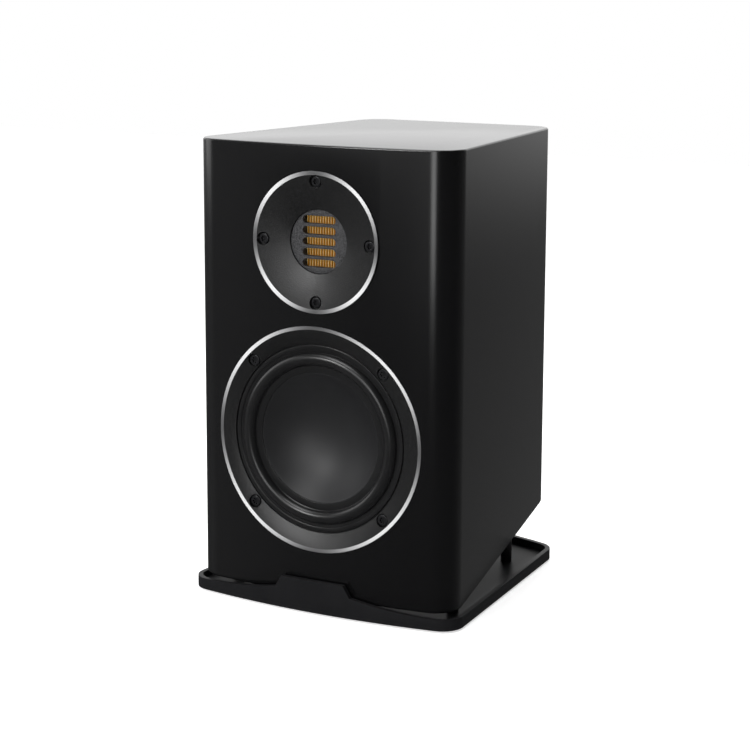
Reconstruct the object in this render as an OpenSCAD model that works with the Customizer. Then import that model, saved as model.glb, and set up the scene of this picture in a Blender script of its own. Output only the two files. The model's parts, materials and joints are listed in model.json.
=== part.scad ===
// Two-way bookshelf speaker: tapered bass-reflex cabinet on a moulded tray base,
// 5.25 inch one-piece-dish woofer and folded-ribbon tweeter.
// Frame: +Z up, front faces -Y, origin on the floor under the middle of the whole object.
// Inside each module Y = 0 is the foremost point of the front baffle.

/* [Cabinet] */
// Height of the top face above the floor
cab_top = 318; // [300:1:400]
// Width across the side walls, carried forward to the baffle's foremost point
cab_front_w = 202.2; // [196:0.1:260]
// Width across the side walls at the rear face
cab_rear_w = 151.2; // [145:0.1:190]
// Depth of the cabinet
cab_depth = 219.5; // [200:0.5:280]
// Radius of the bow of the front baffle, seen from above
baffle_bow_r = 650; // [500:10:1200]
// Radius of the front vertical edges
front_edge_r = 18.5; // [12:0.5:22]
// Radius of the rear vertical edges
rear_edge_r = 19; // [12:0.5:22]
// Thickness of the side, top, bottom and rear panels
panel_t = 15; // [12:0.5:18]
// Thickness of the front baffle at its middle
baffle_t = 24; // [22:0.5:30]
// Height of the front lower edge above the floor
sole_z = 11.3; // [10:0.1:16]
// Angle at which the underside rises to the rear
sole_angle = 8.2; // [5:0.1:10]
// Thickness of the brace between the drivers
brace_t = 12; // [9:0.5:15]

/* [Woofer] */
// Height of the woofer's axis above the floor
woofer_z = 119.9; // [115:0.1:130]
// Diameter of the woofer's flange
woofer_d = 155.2; // [150:0.1:160]
// Thickness of the woofer's flange at its rim
woofer_flange_t = 8; // [7.5:0.1:9]
// Radial width of the bright cut edge of the flange
woofer_ring_w = 2.5; // [2:0.1:3.5]
// Diameter of the step that holds the surround
surround_seat_d = 130; // [126:0.5:132]
// Diameter of the cone with its lip
cone_d = 100; // [96:0.5:102]
// Depth of the cone's dish
dish_depth = 19.6; // [15:0.1:21]
// Diameter of the dish inside the lip
dish_d = 88.8; // [84:0.1:92]
// Thickness of the cone
cone_t = 1; // [0.8:0.1:1.5]
// Circle that the woofer's screws sit on
woofer_pcd = 139.8; // [138:0.1:141]
// How far the cone travels each way from rest
cone_travel = 5; // [3:0.5:6]
// Inner diameter of the voice coil former
former_d = 30.8; // [28:0.1:33]
// Outer diameter of the magnet
magnet_d = 84; // [80:1:90]
// Thickness of the magnet
magnet_t = 15; // [12:0.5:18]

/* [Tweeter] */
// Height of the tweeter's axis above the floor
tweeter_z = 253.5; // [250:0.1:262]
// Diameter of the tweeter's faceplate
tweeter_d = 95; // [90:0.5:100]
// Thickness of the faceplate at its rim
tweeter_plate_t = 6; // [5.5:0.1:7]
// Radial width of the bright cut edge of the faceplate
tweeter_ring_w = 2.75; // [2:0.05:3.5]
// Diameter of the slotted disc in the faceplate
slot_disc_d = 42.6; // [42:0.1:45]
// Circle that the tweeter's screws sit on
tweeter_pcd = 80.6; // [78:0.1:82]
// Number of slots in the disc
slot_count = 5; // [4:1:5]
// Length of each slot
slot_l = 25; // [22:0.5:25]
// Height of each slot
slot_h = 5.3; // [4:0.1:5.5]
// Distance from slot to slot
slot_pitch = 7.25; // [6:0.05:7.5]
// Number of pleats in the ribbon
pleat_count = 13; // [9:1:15]

/* [Tray base] */
// How far the tray stands out beside the cabinet at the baffle's foremost point
tray_margin = 2.9; // [2:0.1:6]
// Width that the tray loses on each side for every millimetre of depth
tray_slope = 0.056; // [0.03:0.001:0.08]
// How far the tray's front stands ahead of the baffle
tray_ahead = 5; // [4.5:0.1:8]
// How far the tray's rear edge stays short of the cabinet's rear face
tray_short = 8; // [4:0.5:14]
// Height of the tray's side and rear rim above the floor
rim_z = 9; // [8:0.1:10]
// Thickness of the rim
rim_t = 3.5; // [3:0.1:4]
// Height of the front tab above the floor
tab_z = 23.5; // [18:0.1:26]
// Width of the tab's top edge
tab_w = 48; // [40:1:60]
// Diameter of the posts between tray and cabinet
post_d = 8; // [7:0.5:12]

/* [Terminals] */
// Height of the terminal plate's middle above the floor
terminal_z = 110; // [95:1:125]
// Distance between the two binding posts
post_pitch = 19; // [18:0.1:24]
// How far the closed knobs stand behind the cabinet
post_reach = 14.5; // [13:0.1:18]
// Diameter of a knob
knob_d = 14; // [12:0.5:16]
// Diameter of the plug socket in a stud
socket_d = 4; // [3.9:0.05:4.2]
// Outer diameter of a stud
stud_d = 6; // [5.6:0.1:7]

/* [Fits] */
// Gap round a part that drops into a recess
fit_gap = 0.25; // [0.15:0.05:0.5]
// Radial gap of a turning or threaded fit
run_gap = 0.05; // [0.02:0.01:0.1]
// Gap between faces that move past each other
move_gap = 0.3; // [0.2:0.05:0.6]

/* [Hidden] */

$fn = 96;
big = 600;             // larger than the object, for cutting blocks
eps = 0.01;            // overshoot of a cutting tool past a face
bow_steps = 14;        // flats in half of a bowed edge
corner_steps = 12;     // flats in a rounded vertical edge

// --- cabinet ---
cab_slope = (cab_front_w - cab_rear_w) / 2 / cab_depth;
slant = sqrt(1 + cab_slope * cab_slope);
inner_rear_y = cab_depth - panel_t;
inner_top_z = cab_top - panel_t;
rear_reach = cab_depth + post_reach;
face_y = (tray_ahead - rear_reach) / 2;
function inner_half(y) = cab_front_w / 2 - panel_t * slant - cab_slope * y;
function sole_at(y) = sole_z + tan(sole_angle) * (y - baffle_t);

// --- woofer, radii and depths behind the baffle's foremost point ---
woofer_r = woofer_d / 2;
ring_drop = 0.75;                                   // how far the bright edge falls inwards
seat_r = surround_seat_d / 2;
seat_edge_y = 4.9;                                  // where the dished flange meets the step
surround_t = 0.7;
surround_foot_t = 1.2;
surround_front_y = 5;
seat_y = surround_front_y + surround_foot_t;
basket_bore_r = seat_r - 6.5;
woofer_seal_t = 1.5;
woofer_pocket_y = woofer_flange_t + woofer_seal_t;
woofer_hole_r = seat_r + 1.5;
cone_r = cone_d / 2;
dish_r = dish_d / 2;
lip_y = 7.1;                                        // front of the cone's lip
dish_sphere_r = (dish_r * dish_r + dish_depth * dish_depth) / (2 * dish_depth);
function dish_y(r) = lip_y + dish_depth - dish_sphere_r + sqrt(dish_sphere_r * dish_sphere_r - r * r);
former_r = former_d / 2;
former_t = 0.2;
coil_t = 0.9;
coil_l = 14;
collar_end_y = dish_y(0) + cone_t + 1.3;            // where the former starts
spider_t = 0.6;
spider_y = collar_end_y + 4.4;                      // front of the spider's glued foot
spider_r = 45.5;
floor_y = spider_y + spider_t + cone_travel + 2;    // front of the basket's floor
floor_t = 3;
gap_plate_y = floor_y + floor_t;
gap_plate_t = 5;
magnet_r = magnet_d / 2;
magnet_y = gap_plate_y + gap_plate_t;
yoke_y = magnet_y + magnet_t;
yoke_t = 5;
coil_y = gap_plate_y + gap_plate_t / 2 - coil_l / 2;
pole_gap = 0.4;                                     // between pole and former
coil_gap = 0.7;                                     // between coil and top plate
basket_r = 48.5;
lead_tag_y = floor_y - 3;                           // where the woofer's solder tags stand
woofer_screw_head_y = 4.1;
woofer_screw_floor_y = 6.2;

// --- tweeter, radii and depths ---
tweeter_r = tweeter_d / 2;
plate_drop = 0.35;
disc_r = slot_disc_d / 2;
disc_y = 6.1;                                       // front of the slotted disc
plate_lip_y = 5.1;                                  // inner edge of the dished faceplate
boss_y = disc_y + 1.9;
boss_r = 31.5;
disc_flange_r = 30;
disc_back_y = boss_y + 2;
ribbon_y = disc_back_y + 0.6;
ribbon_depth = 3.8;
ribbon_t = 0.2;
ribbon_h = 37;
ribbon_w = 26;
ribbon_frame_t = 6;
tweeter_magnet_t = 8;
tweeter_rear_plate_t = 3;
cup_r = 32;
cup_wall = 1.7;
cup_l = 38;
cup_end_y = boss_y + cup_l;
tweeter_seal_t = 1;
tweeter_pocket_y = tweeter_plate_t + tweeter_seal_t;
tweeter_hole_r = cup_r + 1;
tweeter_screw_head_y = 1.8;
tweeter_screw_floor_y = 4.2;

// --- brace, port and tray ---
brace_z = (woofer_z + woofer_hole_r + tweeter_z - tweeter_hole_r - brace_t) / 2;
port_y = (yoke_y + yoke_t + inner_rear_y) / 2 - 7;
port_r = 24;
port_wall = 2.5;
port_l = 105;
port_flare_r = 33;
port_flare_l = 12;
port_flange_r = 42;
port_flange_t = 3;
tray_front_w = cab_front_w + 2 * tray_margin;
tray_z = 1.2;
tray_floor_t = 2.8;
tray_floor_z = tray_z + tray_floor_t;
tray_rear_y = cab_depth - tray_short;
tray_bow_r = 560;
tray_rear_bow_r = 235;
tray_front_edge_r = 15.4;
tray_rear_edge_r = 16;
shoulder_z = 15.4;
shoulder_half = tab_w / 2 + 5;
sweep_end = tray_front_w / 2 - 9;                   // where the front edge reaches rim height
sweep_r = (pow(sweep_end - shoulder_half, 2) + pow(shoulder_z - rim_z, 2)) / (2 * (shoulder_z - rim_z));
front_post_y = baffle_t + 16;
rear_post_y = tray_rear_y - 54.5;
function post_x(y) = cab_front_w / 2 - cab_slope * y - 11.9;
POSTS = [for (y = [front_post_y, rear_post_y], side = [-1, 1]) [side * post_x(y), y]];
base_screw_r = 2.4;
insert_r = 3.5;
insert_l = 10;
foot_r = 8;
foot_recess = 1;
foot_inset = 22;                                    // from the tray's side to a foot's middle
FEET = [for (side = [-1, 1], y = [baffle_t - 4, tray_rear_y - 25.5])
    [side * (tray_front_w / 2 - tray_slope * y - foot_inset), y]];

// --- terminals and crossover ---
terminal_w = 72;
terminal_h = 52;
terminal_t = 3;
terminal_corner_r = 6;
terminal_seal_t = 1;
terminal_pocket_y = cab_depth - terminal_t - terminal_seal_t;
terminal_collar_t = 1.8;
washer_t = 1;
washer_y = cab_depth + terminal_collar_t + move_gap;
knob_y = washer_y + washer_t + move_gap;
knob_l = rear_reach - knob_y;
stud_r = stud_d / 2;
stud_end_y = rear_reach - 0.5;
stud_start_y = cab_depth - terminal_t - 12;
socket_l = 14;
nut_t = 4;
tag_t = 0.6;
nut_y = cab_depth - terminal_t - nut_t;
board_w = 108;
board_h = 72;
board_t = 1.6;
standoff_l = 8;
board_y = inner_rear_y - standoff_l - board_t;
board_z = (brace_z + brace_t + inner_top_z) / 2;
board_pad_z = board_z - board_h / 2 + 6;            // row of solder pads near the lower edge
BOARD_HOLES = [for (x = [-1, 1], z = [-1, 1]) [x * (board_w / 2 - 6), board_z + z * (board_h / 2 - 6)]];
lead_r = 1.2;

// ================= shared shapes =================

// Puts Y = 0 of the modules at the baffle's place in the object's frame.
module placed() {
    translate([0, face_y, 0]) children();
}

// Turns a shape's +Z into +Y, at height z and sideways place x.
module facing_back(x, z) {
    translate([x, 0, z]) rotate([-90, 0, 0]) children();
}

module on_woofer() {
    placed() facing_back(0, woofer_z) children();
}

module on_tweeter() {
    placed() facing_back(0, tweeter_z) children();
}

// Four copies on a circle of diameter pcd, the first at angle start.
module four_round(pcd, start) {
    for (i = [0 : 3]) rotate(start + 90 * i) translate([pcd / 2, 0, 0]) children();
}

// Y of the centre of an edge radius between a straight side and an end arc of centre yc.
function edge_centre_y(m, s, yc, q, way) =
    let (b = m * s + yc, a = 1 + s * s)
    (b + way * sqrt(b * b - a * (m * m + yc * yc - q * q))) / a;

// Right half of a plan outline, front middle to rear middle. A rear bow of 0 is a straight rear.
function plan_half(hw, s, y0, bow0, r0, y1, bow1, r1) =
    let (k = sqrt(1 + s * s), side = atan(s),
        m0 = hw - r0 * k,
        cy0 = edge_centre_y(m0, s, y0 + bow0, bow0 - r0, -1),
        cx0 = m0 - s * cy0,
        a0 = atan2(cy0 - y0 - bow0, cx0),
        m1 = hw - r1 * k,
        cy1 = bow1 == 0 ? y1 - r1 : edge_centre_y(m1, s, y1 - bow1, bow1 - r1, 1),
        cx1 = m1 - s * cy1,
        a1 = bow1 == 0 ? 90 : atan2(cy1 - y1 + bow1, cx1))
    concat(
        [for (i = [0 : bow_steps - 1]) let (x = bow0 * cos(a0) * i / bow_steps)
            [x, y0 + bow0 - sqrt(bow0 * bow0 - x * x)]],
        [for (i = [0 : corner_steps]) let (a = a0 + (side - a0) * i / corner_steps)
            [cx0 + r0 * cos(a), cy0 + r0 * sin(a)]],
        [for (i = [0 : corner_steps]) let (a = side + (a1 - side) * i / corner_steps)
            [cx1 + r1 * cos(a), cy1 + r1 * sin(a)]],
        bow1 == 0 ? [] :
        [for (i = [bow_steps - 1 : -1 : 0]) let (x = bow1 * cos(a1) * i / bow_steps)
            [x, y1 - bow1 + sqrt(bow1 * bow1 - x * x)]]);

// Whole outline: the right half and its mirror image.
function plan(half) =
    concat(half, [for (i = [len(half) - 1 : -1 : 0]) if (half[i][0] > eps) [-half[i][0], half[i][1]]]);

function tray_plan(t) = plan(plan_half(
    tray_front_w / 2 - t * sqrt(1 + tray_slope * tray_slope), tray_slope,
    t - tray_ahead, tray_bow_r - t, tray_front_edge_r - t,
    tray_rear_y - t, tray_rear_bow_r - t, tray_rear_edge_r - t));

module cabinet_block(z0, z1) {
    translate([0, 0, z0]) linear_extrude(z1 - z0)
        polygon(plan(plan_half(cab_front_w / 2, cab_slope, 0, baffle_bow_r, front_edge_r,
            cab_depth, 0, rear_edge_r)));
}

// Everything under the sloping underside raised by up, square to the slope.
module below_sole(up) {
    translate([0, baffle_t, sole_z]) rotate([sole_angle, 0, 0])
        translate([-big / 2, -big, up - big]) cube([big, 2 * big, big]);
}

// Puts +Z square to the sloping underside, pointing into the cabinet.
module on_sole(y) {
    translate([0, y, sole_at(y)]) rotate([sole_angle, 0, 0]) children();
}

// The space between the two side panels' inner faces, from y0 to y1.
module between_sides(y0, y1, z0, z1) {
    translate([0, 0, z0]) linear_extrude(z1 - z0)
        polygon([[-inner_half(y0), y0], [inner_half(y0), y0], [inner_half(y1), y1], [-inner_half(y1), y1]]);
}

module rounded_plate(w, h, r, t) {
    linear_extrude(t) {
        square([w - 2 * r, h], center = true);
        square([w, h - 2 * r], center = true);
        for (x = [-1, 1], y = [-1, 1]) translate([x * (w / 2 - r), y * (h / 2 - r)]) circle(r);
    }
}

// Screw along +Z with a round head whose top is at z = 0 and a star-shaped key hole.
module screw(head_r, head_h, shank_r, length) {
    difference() {
        union() {
            cylinder(r = head_r, h = head_h);
            cylinder(r = shank_r, h = head_h + length);
        }
        for (a = [0, 30]) rotate(a) translate([0, 0, -eps]) cylinder(r = head_r * 0.42, h = head_h * 0.6, $fn = 6);
    }
}

// Points on a smooth curve through the given points.
function curve_point(p, i, t) =
    let (a = p[max(i - 1, 0)], b = p[i], c = p[i + 1], d = p[min(i + 2, len(p) - 1)])
    0.5 * (2 * b + (c - a) * t + (2 * a - 5 * b + 4 * c - d) * t * t + (3 * b - a - 3 * c + d) * t * t * t);
function curve(p, steps) =
    concat([for (i = [0 : len(p) - 2], k = [0 : steps - 1]) curve_point(p, i, k / steps)], [p[len(p) - 1]]);
function unit(v) = v / norm(v);

// Round insulated wire along a route that never runs parallel to X.
module wire(route, r, steps) {
    path = curve(route, steps);
    n = len(path);
    sides = 8;
    points = [for (i = [0 : n - 1])
        let (t = unit(path[min(i + 1, n - 1)] - path[max(i - 1, 0)]),
            u = unit(cross(t, [1, 0, 0])), v = cross(t, u))
        for (k = [0 : sides - 1]) path[i] + r * (cos(360 * k / sides) * u + sin(360 * k / sides) * v)];
    walls = [for (i = [0 : n - 2], k = [0 : sides - 1]) let (j = (k + 1) % sides)
        [i * sides + k, i * sides + j, (i + 1) * sides + j, (i + 1) * sides + k]];
    ends = [[for (k = [sides - 1 : -1 : 0]) k], [for (k = [0 : sides - 1]) (n - 1) * sides + k]];
    polyhedron(points, concat(walls, ends));
}

// ================= cabinet =================

module front_baffle() {
    color("#1b1b1d") placed() difference() {
        intersection() {
            cabinet_block(sole_z, cab_top);
            translate([-big / 2, -1, 0]) cube([big, baffle_t + 1, big]);
        }
        facing_back(0, woofer_z) {
            translate([0, 0, -1]) cylinder(r = woofer_r + fit_gap, h = woofer_pocket_y + 1);
            cylinder(r = woofer_hole_r, h = baffle_t + 1);
            four_round(woofer_pcd, 45) cylinder(r = 2 + run_gap, h = baffle_t - 1.5, $fn = 32);
        }
        facing_back(0, tweeter_z) {
            translate([0, 0, -1]) cylinder(r = tweeter_r + fit_gap, h = tweeter_pocket_y + 1);
            cylinder(r = tweeter_hole_r, h = baffle_t + 1);
            four_round(tweeter_pcd, 0) cylinder(r = 1.75 + run_gap, h = baffle_t - 3, $fn = 32);
        }
    }
}

module side_panel() {
    placed() difference() {
        intersection() {
            cabinet_block(sole_z, inner_top_z);
            linear_extrude(big) polygon([
                [inner_half(baffle_t), baffle_t], [big, baffle_t],
                [big, cab_depth + 1], [inner_half(cab_depth + 1), cab_depth + 1]]);
        }
        below_sole(panel_t);
    }
}

module left_side_panel() {
    color("#1e1e20") mirror([1, 0, 0]) side_panel();
}

module right_side_panel() {
    color("#1e1e20") side_panel();
}

module top_panel() {
    color("#242427") placed() intersection() {
        cabinet_block(inner_top_z, cab_top);
        translate([-big / 2, baffle_t, 0]) cube([big, big, big]);
    }
}

module bottom_panel() {
    color("#18181a") placed() difference() {
        intersection() {
            cabinet_block(0, sole_at(cab_depth) + 2 * panel_t);
            translate([-big / 2, baffle_t, 0]) cube([big, big, big]);
            below_sole(panel_t);
        }
        below_sole(0);
        on_sole(port_y) {
            translate([0, 0, -1]) cylinder(r = port_flange_r + fit_gap, h = port_flange_t + 1);
            cylinder(r = port_flare_r + port_wall + 2 * fit_gap, h = panel_t + 1);
        }
        for (p = POSTS) translate([p[0], p[1], 0]) cylinder(r = insert_r, h = sole_at(p[1]) + 1 + insert_l, $fn = 32);
    }
}

module rear_panel() {
    color("#1a1a1c") placed() difference() {
        intersection() {
            cabinet_block(sole_z, inner_top_z);
            between_sides(inner_rear_y, cab_depth + eps, sole_z, inner_top_z);
        }
        below_sole(panel_t);
        translate([0, terminal_pocket_y, terminal_z]) rotate([-90, 0, 0])
            rounded_plate(terminal_w + 2 * fit_gap, terminal_h + 2 * fit_gap, terminal_corner_r, panel_t);
        translate([0, inner_rear_y - 1, terminal_z]) rotate([-90, 0, 0])
            rounded_plate(terminal_w - 16, terminal_h - 16, 4, panel_t + 2);
        terminal_screw_places() translate([0, 0, inner_rear_y + 2]) cylinder(r = 1.5 + run_gap, h = panel_t, $fn = 32);
        board_screw_places() translate([0, 0, inner_rear_y - 1]) cylinder(r = 1.5 + run_gap, h = 9, $fn = 32);
    }
}

module window_brace() {
    margin = 22;           // wood left beside the windows
    rib_y = 92;            // middle of the cross rib
    rib_half = 9;
    rear_strip = 8;
    color("#8a6a48") placed() difference() {
        between_sides(baffle_t, inner_rear_y, brace_z, brace_z + brace_t);
        for (span = [[baffle_t + margin, rib_y - rib_half], [rib_y + rib_half, inner_rear_y - rear_strip]])
            translate([0, 0, brace_z - 1]) linear_extrude(brace_t + 2) polygon([
                [margin - inner_half(span[0]), span[0]], [inner_half(span[0]) - margin, span[0]],
                [inner_half(span[1]) - margin, span[1]], [margin - inner_half(span[1]), span[1]]]);
    }
}

module damping_wadding() {
    pad_t = 20;            // of the rear pads; the roof pad is half as thick
    roof_start_y = 60;
    roof_end_y = 150;
    lead_lane = 18;        // half of the lane left for the leads between the rear pads
    pad_gap = 2;
    roof_half = inner_half(roof_end_y) - pad_gap / 2;
    pad_low_z = terminal_z + terminal_h / 2 + 8;
    color("#d8d4c8") placed() {
        translate([-roof_half, roof_start_y, inner_top_z - pad_t / 2])
            cube([2 * roof_half, roof_end_y - roof_start_y, pad_t / 2]);
        for (side = [0, 1]) mirror([side, 0, 0]) translate([lead_lane, inner_rear_y - pad_t, pad_low_z])
            cube([inner_half(inner_rear_y) - pad_gap - lead_lane, pad_t, brace_z - pad_gap - pad_low_z]);
    }
}

module port_tube() {
    flare_steps = 6;
    color("#202022") placed() on_sole(port_y) rotate_extrude() polygon(concat(
        [[port_flange_r, 0], [port_flange_r, port_flange_t], [port_flare_r + port_wall, port_flange_t],
            [port_flare_r + port_wall, port_flange_t + 3], [port_r + port_wall, port_flare_l + 4],
            [port_r + port_wall, port_l], [port_r, port_l]],
        [for (i = [0 : flare_steps]) let (a = 90 * i / flare_steps)
            [port_flare_r - (port_flare_r - port_r) * cos(a), port_flare_l * (1 - sin(a))]]));
}

// ================= tray base =================

// Front view of the tray's edge: rim height at the corners, swept up to the shoulders and the tab.
function tray_edge_half() = concat(
    [for (i = [0 : 8]) let (x = sweep_end - (sweep_end - shoulder_half) * i / 8)
        [x, rim_z + sweep_r - sqrt(sweep_r * sweep_r - pow(sweep_end - x, 2))]],
    [[tab_w / 2, tab_z]]);

module base_tray() {
    edge = tray_edge_half();
    wide = tray_front_w;
    front_zone = 14;
    color("#1c1c1e") placed() difference() {
        union() {
            translate([0, 0, tray_z]) linear_extrude(tray_floor_t) polygon(tray_plan(0));
            intersection() {
                translate([0, 0, tray_z]) linear_extrude(tab_z) difference() {
                    polygon(tray_plan(0));
                    polygon(tray_plan(rim_t));
                }
                union() {
                    translate([0, front_zone, 0]) rotate([90, 0, 0]) linear_extrude(2 * front_zone + tray_ahead)
                        polygon(concat([[wide, 0], [wide, rim_z]], edge,
                            [for (i = [len(edge) - 1 : -1 : 0]) [-edge[i][0], edge[i][1]]],
                            [[-wide, rim_z], [-wide, 0]]));
                    translate([-wide, 0, 0]) cube([2 * wide, big, rim_z]);
                }
            }
        }
        for (p = POSTS) translate([p[0], p[1], 0]) {
            cylinder(r = base_screw_r + 2 * fit_gap, h = big, $fn = 32);
            translate([0, 0, tray_z - eps]) cylinder(r1 = 5, r2 = base_screw_r + fit_gap, h = 2.3, $fn = 48);
        }
        for (p = FEET) translate([p[0], p[1], 0]) cylinder(r = foot_r + fit_gap, h = tray_z + foot_recess);
    }
}

module base_posts() {
    color("#2a2a2c") placed() for (p = POSTS) difference() {
        translate([p[0], p[1], tray_floor_z]) cylinder(d = post_d, h = sole_at(p[1]) + 5 - tray_floor_z, $fn = 64);
        translate([0, baffle_t, sole_z]) rotate([sole_angle, 0, 0]) translate([-big / 2, -big, 0]) cube([big, 2 * big, big]);
        translate([p[0], p[1], 0]) cylinder(r = base_screw_r + fit_gap, h = big, $fn = 32);
    }
}

module base_screws() {
    color("#3a3a3c") placed() for (p = POSTS) translate([p[0], p[1], tray_z + 0.1]) difference() {
        union() {
            cylinder(r1 = 4.6, r2 = base_screw_r, h = 2.1, $fn = 48);
            cylinder(r = base_screw_r, h = sole_at(p[1]) + insert_l - tray_z, $fn = 48);
        }
        translate([0, 0, -eps]) cylinder(r = 1.7, h = 1.8, $fn = 6);
    }
}

module base_inserts() {
    color("#b08d4a") placed() for (p = POSTS) translate([p[0], p[1], sole_at(p[1]) + 1]) difference() {
        cylinder(r = insert_r, h = insert_l, $fn = 32);
        translate([0, 0, -1]) cylinder(r = base_screw_r + run_gap, h = insert_l + 2, $fn = 32);
    }
}

module rubber_feet() {
    color("#141414") placed() for (p = FEET) translate([p[0], p[1], 0]) {
        cylinder(r1 = foot_r - 0.5, r2 = foot_r, h = 0.5);
        translate([0, 0, 0.5]) cylinder(r = foot_r, h = tray_z + foot_recess - 0.5);
    }
}

// ================= woofer =================

module woofer_frame() {
    rim_y = woofer_pocket_y + 3;
    window_y = rim_y + 3.5;
    color("#232325") intersection() {
        placed() cabinet_block(0, cab_top);
        on_woofer() difference() {
            rotate_extrude() polygon([
                [basket_bore_r, seat_y], [seat_r, seat_y], [seat_r, seat_edge_y],
                [woofer_r - woofer_ring_w, ring_drop], [woofer_r, 0], [woofer_r, woofer_flange_t],
                [seat_r + 0.5, woofer_flange_t], [seat_r - 1.5, rim_y], [basket_r, floor_y - 6],
                [basket_r, floor_y + floor_t], [former_r + 3.1, floor_y + floor_t], [former_r + 3.1, floor_y],
                [spider_r - 4.5, floor_y], [spider_r - 4.5, spider_y + spider_t],
                [spider_r + 0.3, spider_y + spider_t], [spider_r + 0.3, spider_y - 1],
                [seat_r - 4.5, rim_y], [basket_bore_r, rim_y - 3]]);
            for (i = [0 : 5]) rotate(30 + 60 * i) translate([spider_r - 7, -16, window_y])
                cube([30, 32, spider_y - window_y - 3]);
            four_round(woofer_pcd, 45) {
                translate([0, 0, -1]) cylinder(r = 4.5, h = woofer_screw_floor_y + 1, $fn = 64);
                cylinder(r = 2.3, h = woofer_flange_t + 1, $fn = 32);
            }
        }
    }
}

module woofer_surround() {
    roll_r = (seat_r - 6 - cone_r) / 2;
    roll_mid = cone_r + roll_r;
    roll_steps = 16;
    roll_front = [for (i = [0 : roll_steps]) let (a = 180 * i / roll_steps)
        [roll_mid + roll_r * cos(a), lip_y - surround_t - (roll_r) * sin(a)]];
    roll_back = [for (i = [roll_steps : -1 : 0]) let (a = 180 * i / roll_steps)
        [roll_mid + (roll_r - surround_t) * cos(a), lip_y - (roll_r - 0.4) * sin(a)]];
    color("#2b2b2d") on_woofer() rotate_extrude() polygon(concat(
        [[seat_r - fit_gap * 2, surround_front_y], [seat_r - 6, surround_front_y]],
        roll_front,
        [[dish_r + 0.4, lip_y - surround_t], [dish_r + 0.4, lip_y]],
        roll_back,
        [[seat_r - 6 - surround_t, seat_y], [seat_r - fit_gap * 2, seat_y]]));
}

module woofer_cone() {
    steps = 14;
    color("#2f2f32") on_woofer() union() {
        rotate_extrude() polygon(concat(
            [[cone_r, lip_y + cone_t], [cone_r, lip_y], [dish_r, lip_y]],
            [for (i = [1 : steps]) let (r = dish_r * (1 - i / steps)) [r, dish_y(r)]],
            [for (i = [steps : -1 : 1]) let (r = dish_r * (1 - i / steps)) [r, dish_y(r) + cone_t]]));
        difference() {
            translate([0, 0, dish_y(former_r) + cone_t / 2])
                cylinder(r = former_r + 1, h = collar_end_y - dish_y(former_r) - cone_t / 2);
            translate([0, 0, dish_y(former_r) - 2]) cylinder(r = former_r - 0.4, h = collar_end_y);
        }
    }
}

module voice_coil_former() {
    color("#c9b26a") on_woofer() translate([0, 0, collar_end_y]) difference() {
        cylinder(r = former_r + former_t, h = coil_y + coil_l - collar_end_y);
        translate([0, 0, -1]) cylinder(r = former_r, h = big);
    }
}

module voice_coil() {
    color("#b5652d") on_woofer() translate([0, 0, coil_y]) difference() {
        cylinder(r = former_r + former_t + coil_t, h = coil_l);
        translate([0, 0, -1]) cylinder(r = former_r + former_t, h = coil_l + 2);
    }
}

module spider() {
    waves = 5;
    steps = 40;
    inner = former_r + former_t + run_gap;
    outer = spider_r - 5;
    front = [for (i = [0 : steps]) let (f = i / steps)
        [inner + (outer - inner) * f, spider_y - 1.1 * sin(180 * f) * abs(sin(180 * waves * f))]];
    color("#c08a3a") on_woofer() rotate_extrude() polygon(concat(
        front, [[spider_r, spider_y], [spider_r, spider_y + spider_t]],
        [for (i = [steps : -1 : 0]) front[i] + [0, spider_t]]));
}

module woofer_top_plate() {
    color("#9a9a9c") on_woofer() translate([0, 0, gap_plate_y]) difference() {
        cylinder(r = magnet_r - 2, h = gap_plate_t);
        translate([0, 0, -1]) cylinder(r = former_r + former_t + coil_t + coil_gap, h = gap_plate_t + 2);
    }
}

module woofer_magnet() {
    color("#3b3b3d") on_woofer() translate([0, 0, magnet_y]) difference() {
        cylinder(r = magnet_r, h = magnet_t);
        translate([0, 0, -1]) cylinder(r = former_r + 6.6, h = magnet_t + 2);
    }
}

module woofer_yoke() {
    vent_r = 5;
    color("#a2a2a4") on_woofer() rotate_extrude() polygon([
        [vent_r, gap_plate_y], [former_r - pole_gap, gap_plate_y], [former_r - pole_gap, yoke_y],
        [magnet_r - 3, yoke_y], [magnet_r - 3, yoke_y + yoke_t], [vent_r, yoke_y + yoke_t]]);
}

module woofer_terminal_strip() {
    strip_w = 22;
    color("#7a5a3a") placed() translate([-strip_w / 2, lead_tag_y - 3, woofer_z + basket_r + 0.05]) {
        cube([strip_w, 8, 1.6]);
        for (x = [4, strip_w - 6]) translate([x, 2.5, 1.6]) cube([2, 3, 3]);
    }
}

module tinsel_leads() {
    cone_back = dish_y(22) + cone_t;
    strip_z = woofer_z + basket_r;
    color("#b98b56") placed() for (x = [-6, 6]) wire([
        [x, cone_back + 0.9, woofer_z + 21], [x, cone_back + 3.4, woofer_z + 26],
        [x * 1.1, cone_back + 2, woofer_z + 34], [x * 1.1, lead_tag_y - 11.5, strip_z - 3],
        [x, lead_tag_y - 9.5, strip_z + 4.2], [x, lead_tag_y - 1.2, strip_z + 2.6]], 0.6, 4);
}

module woofer_screws() {
    color("#0f0f10") on_woofer() four_round(woofer_pcd, 45) translate([0, 0, woofer_screw_head_y])
        screw(3.8, woofer_screw_floor_y - woofer_screw_head_y, 2, baffle_t - 2 - woofer_screw_floor_y, $fn = 48);
}

module woofer_seal() {
    color("#111111") on_woofer() translate([0, 0, woofer_flange_t]) difference() {
        cylinder(r = woofer_r - 0.5, h = woofer_seal_t);
        translate([0, 0, -1]) cylinder(r = woofer_hole_r, h = woofer_seal_t + 2);
        four_round(woofer_pcd, 45) translate([0, 0, -1]) cylinder(r = 2.3, h = woofer_seal_t + 2, $fn = 32);
    }
}

// ================= tweeter =================

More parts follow.
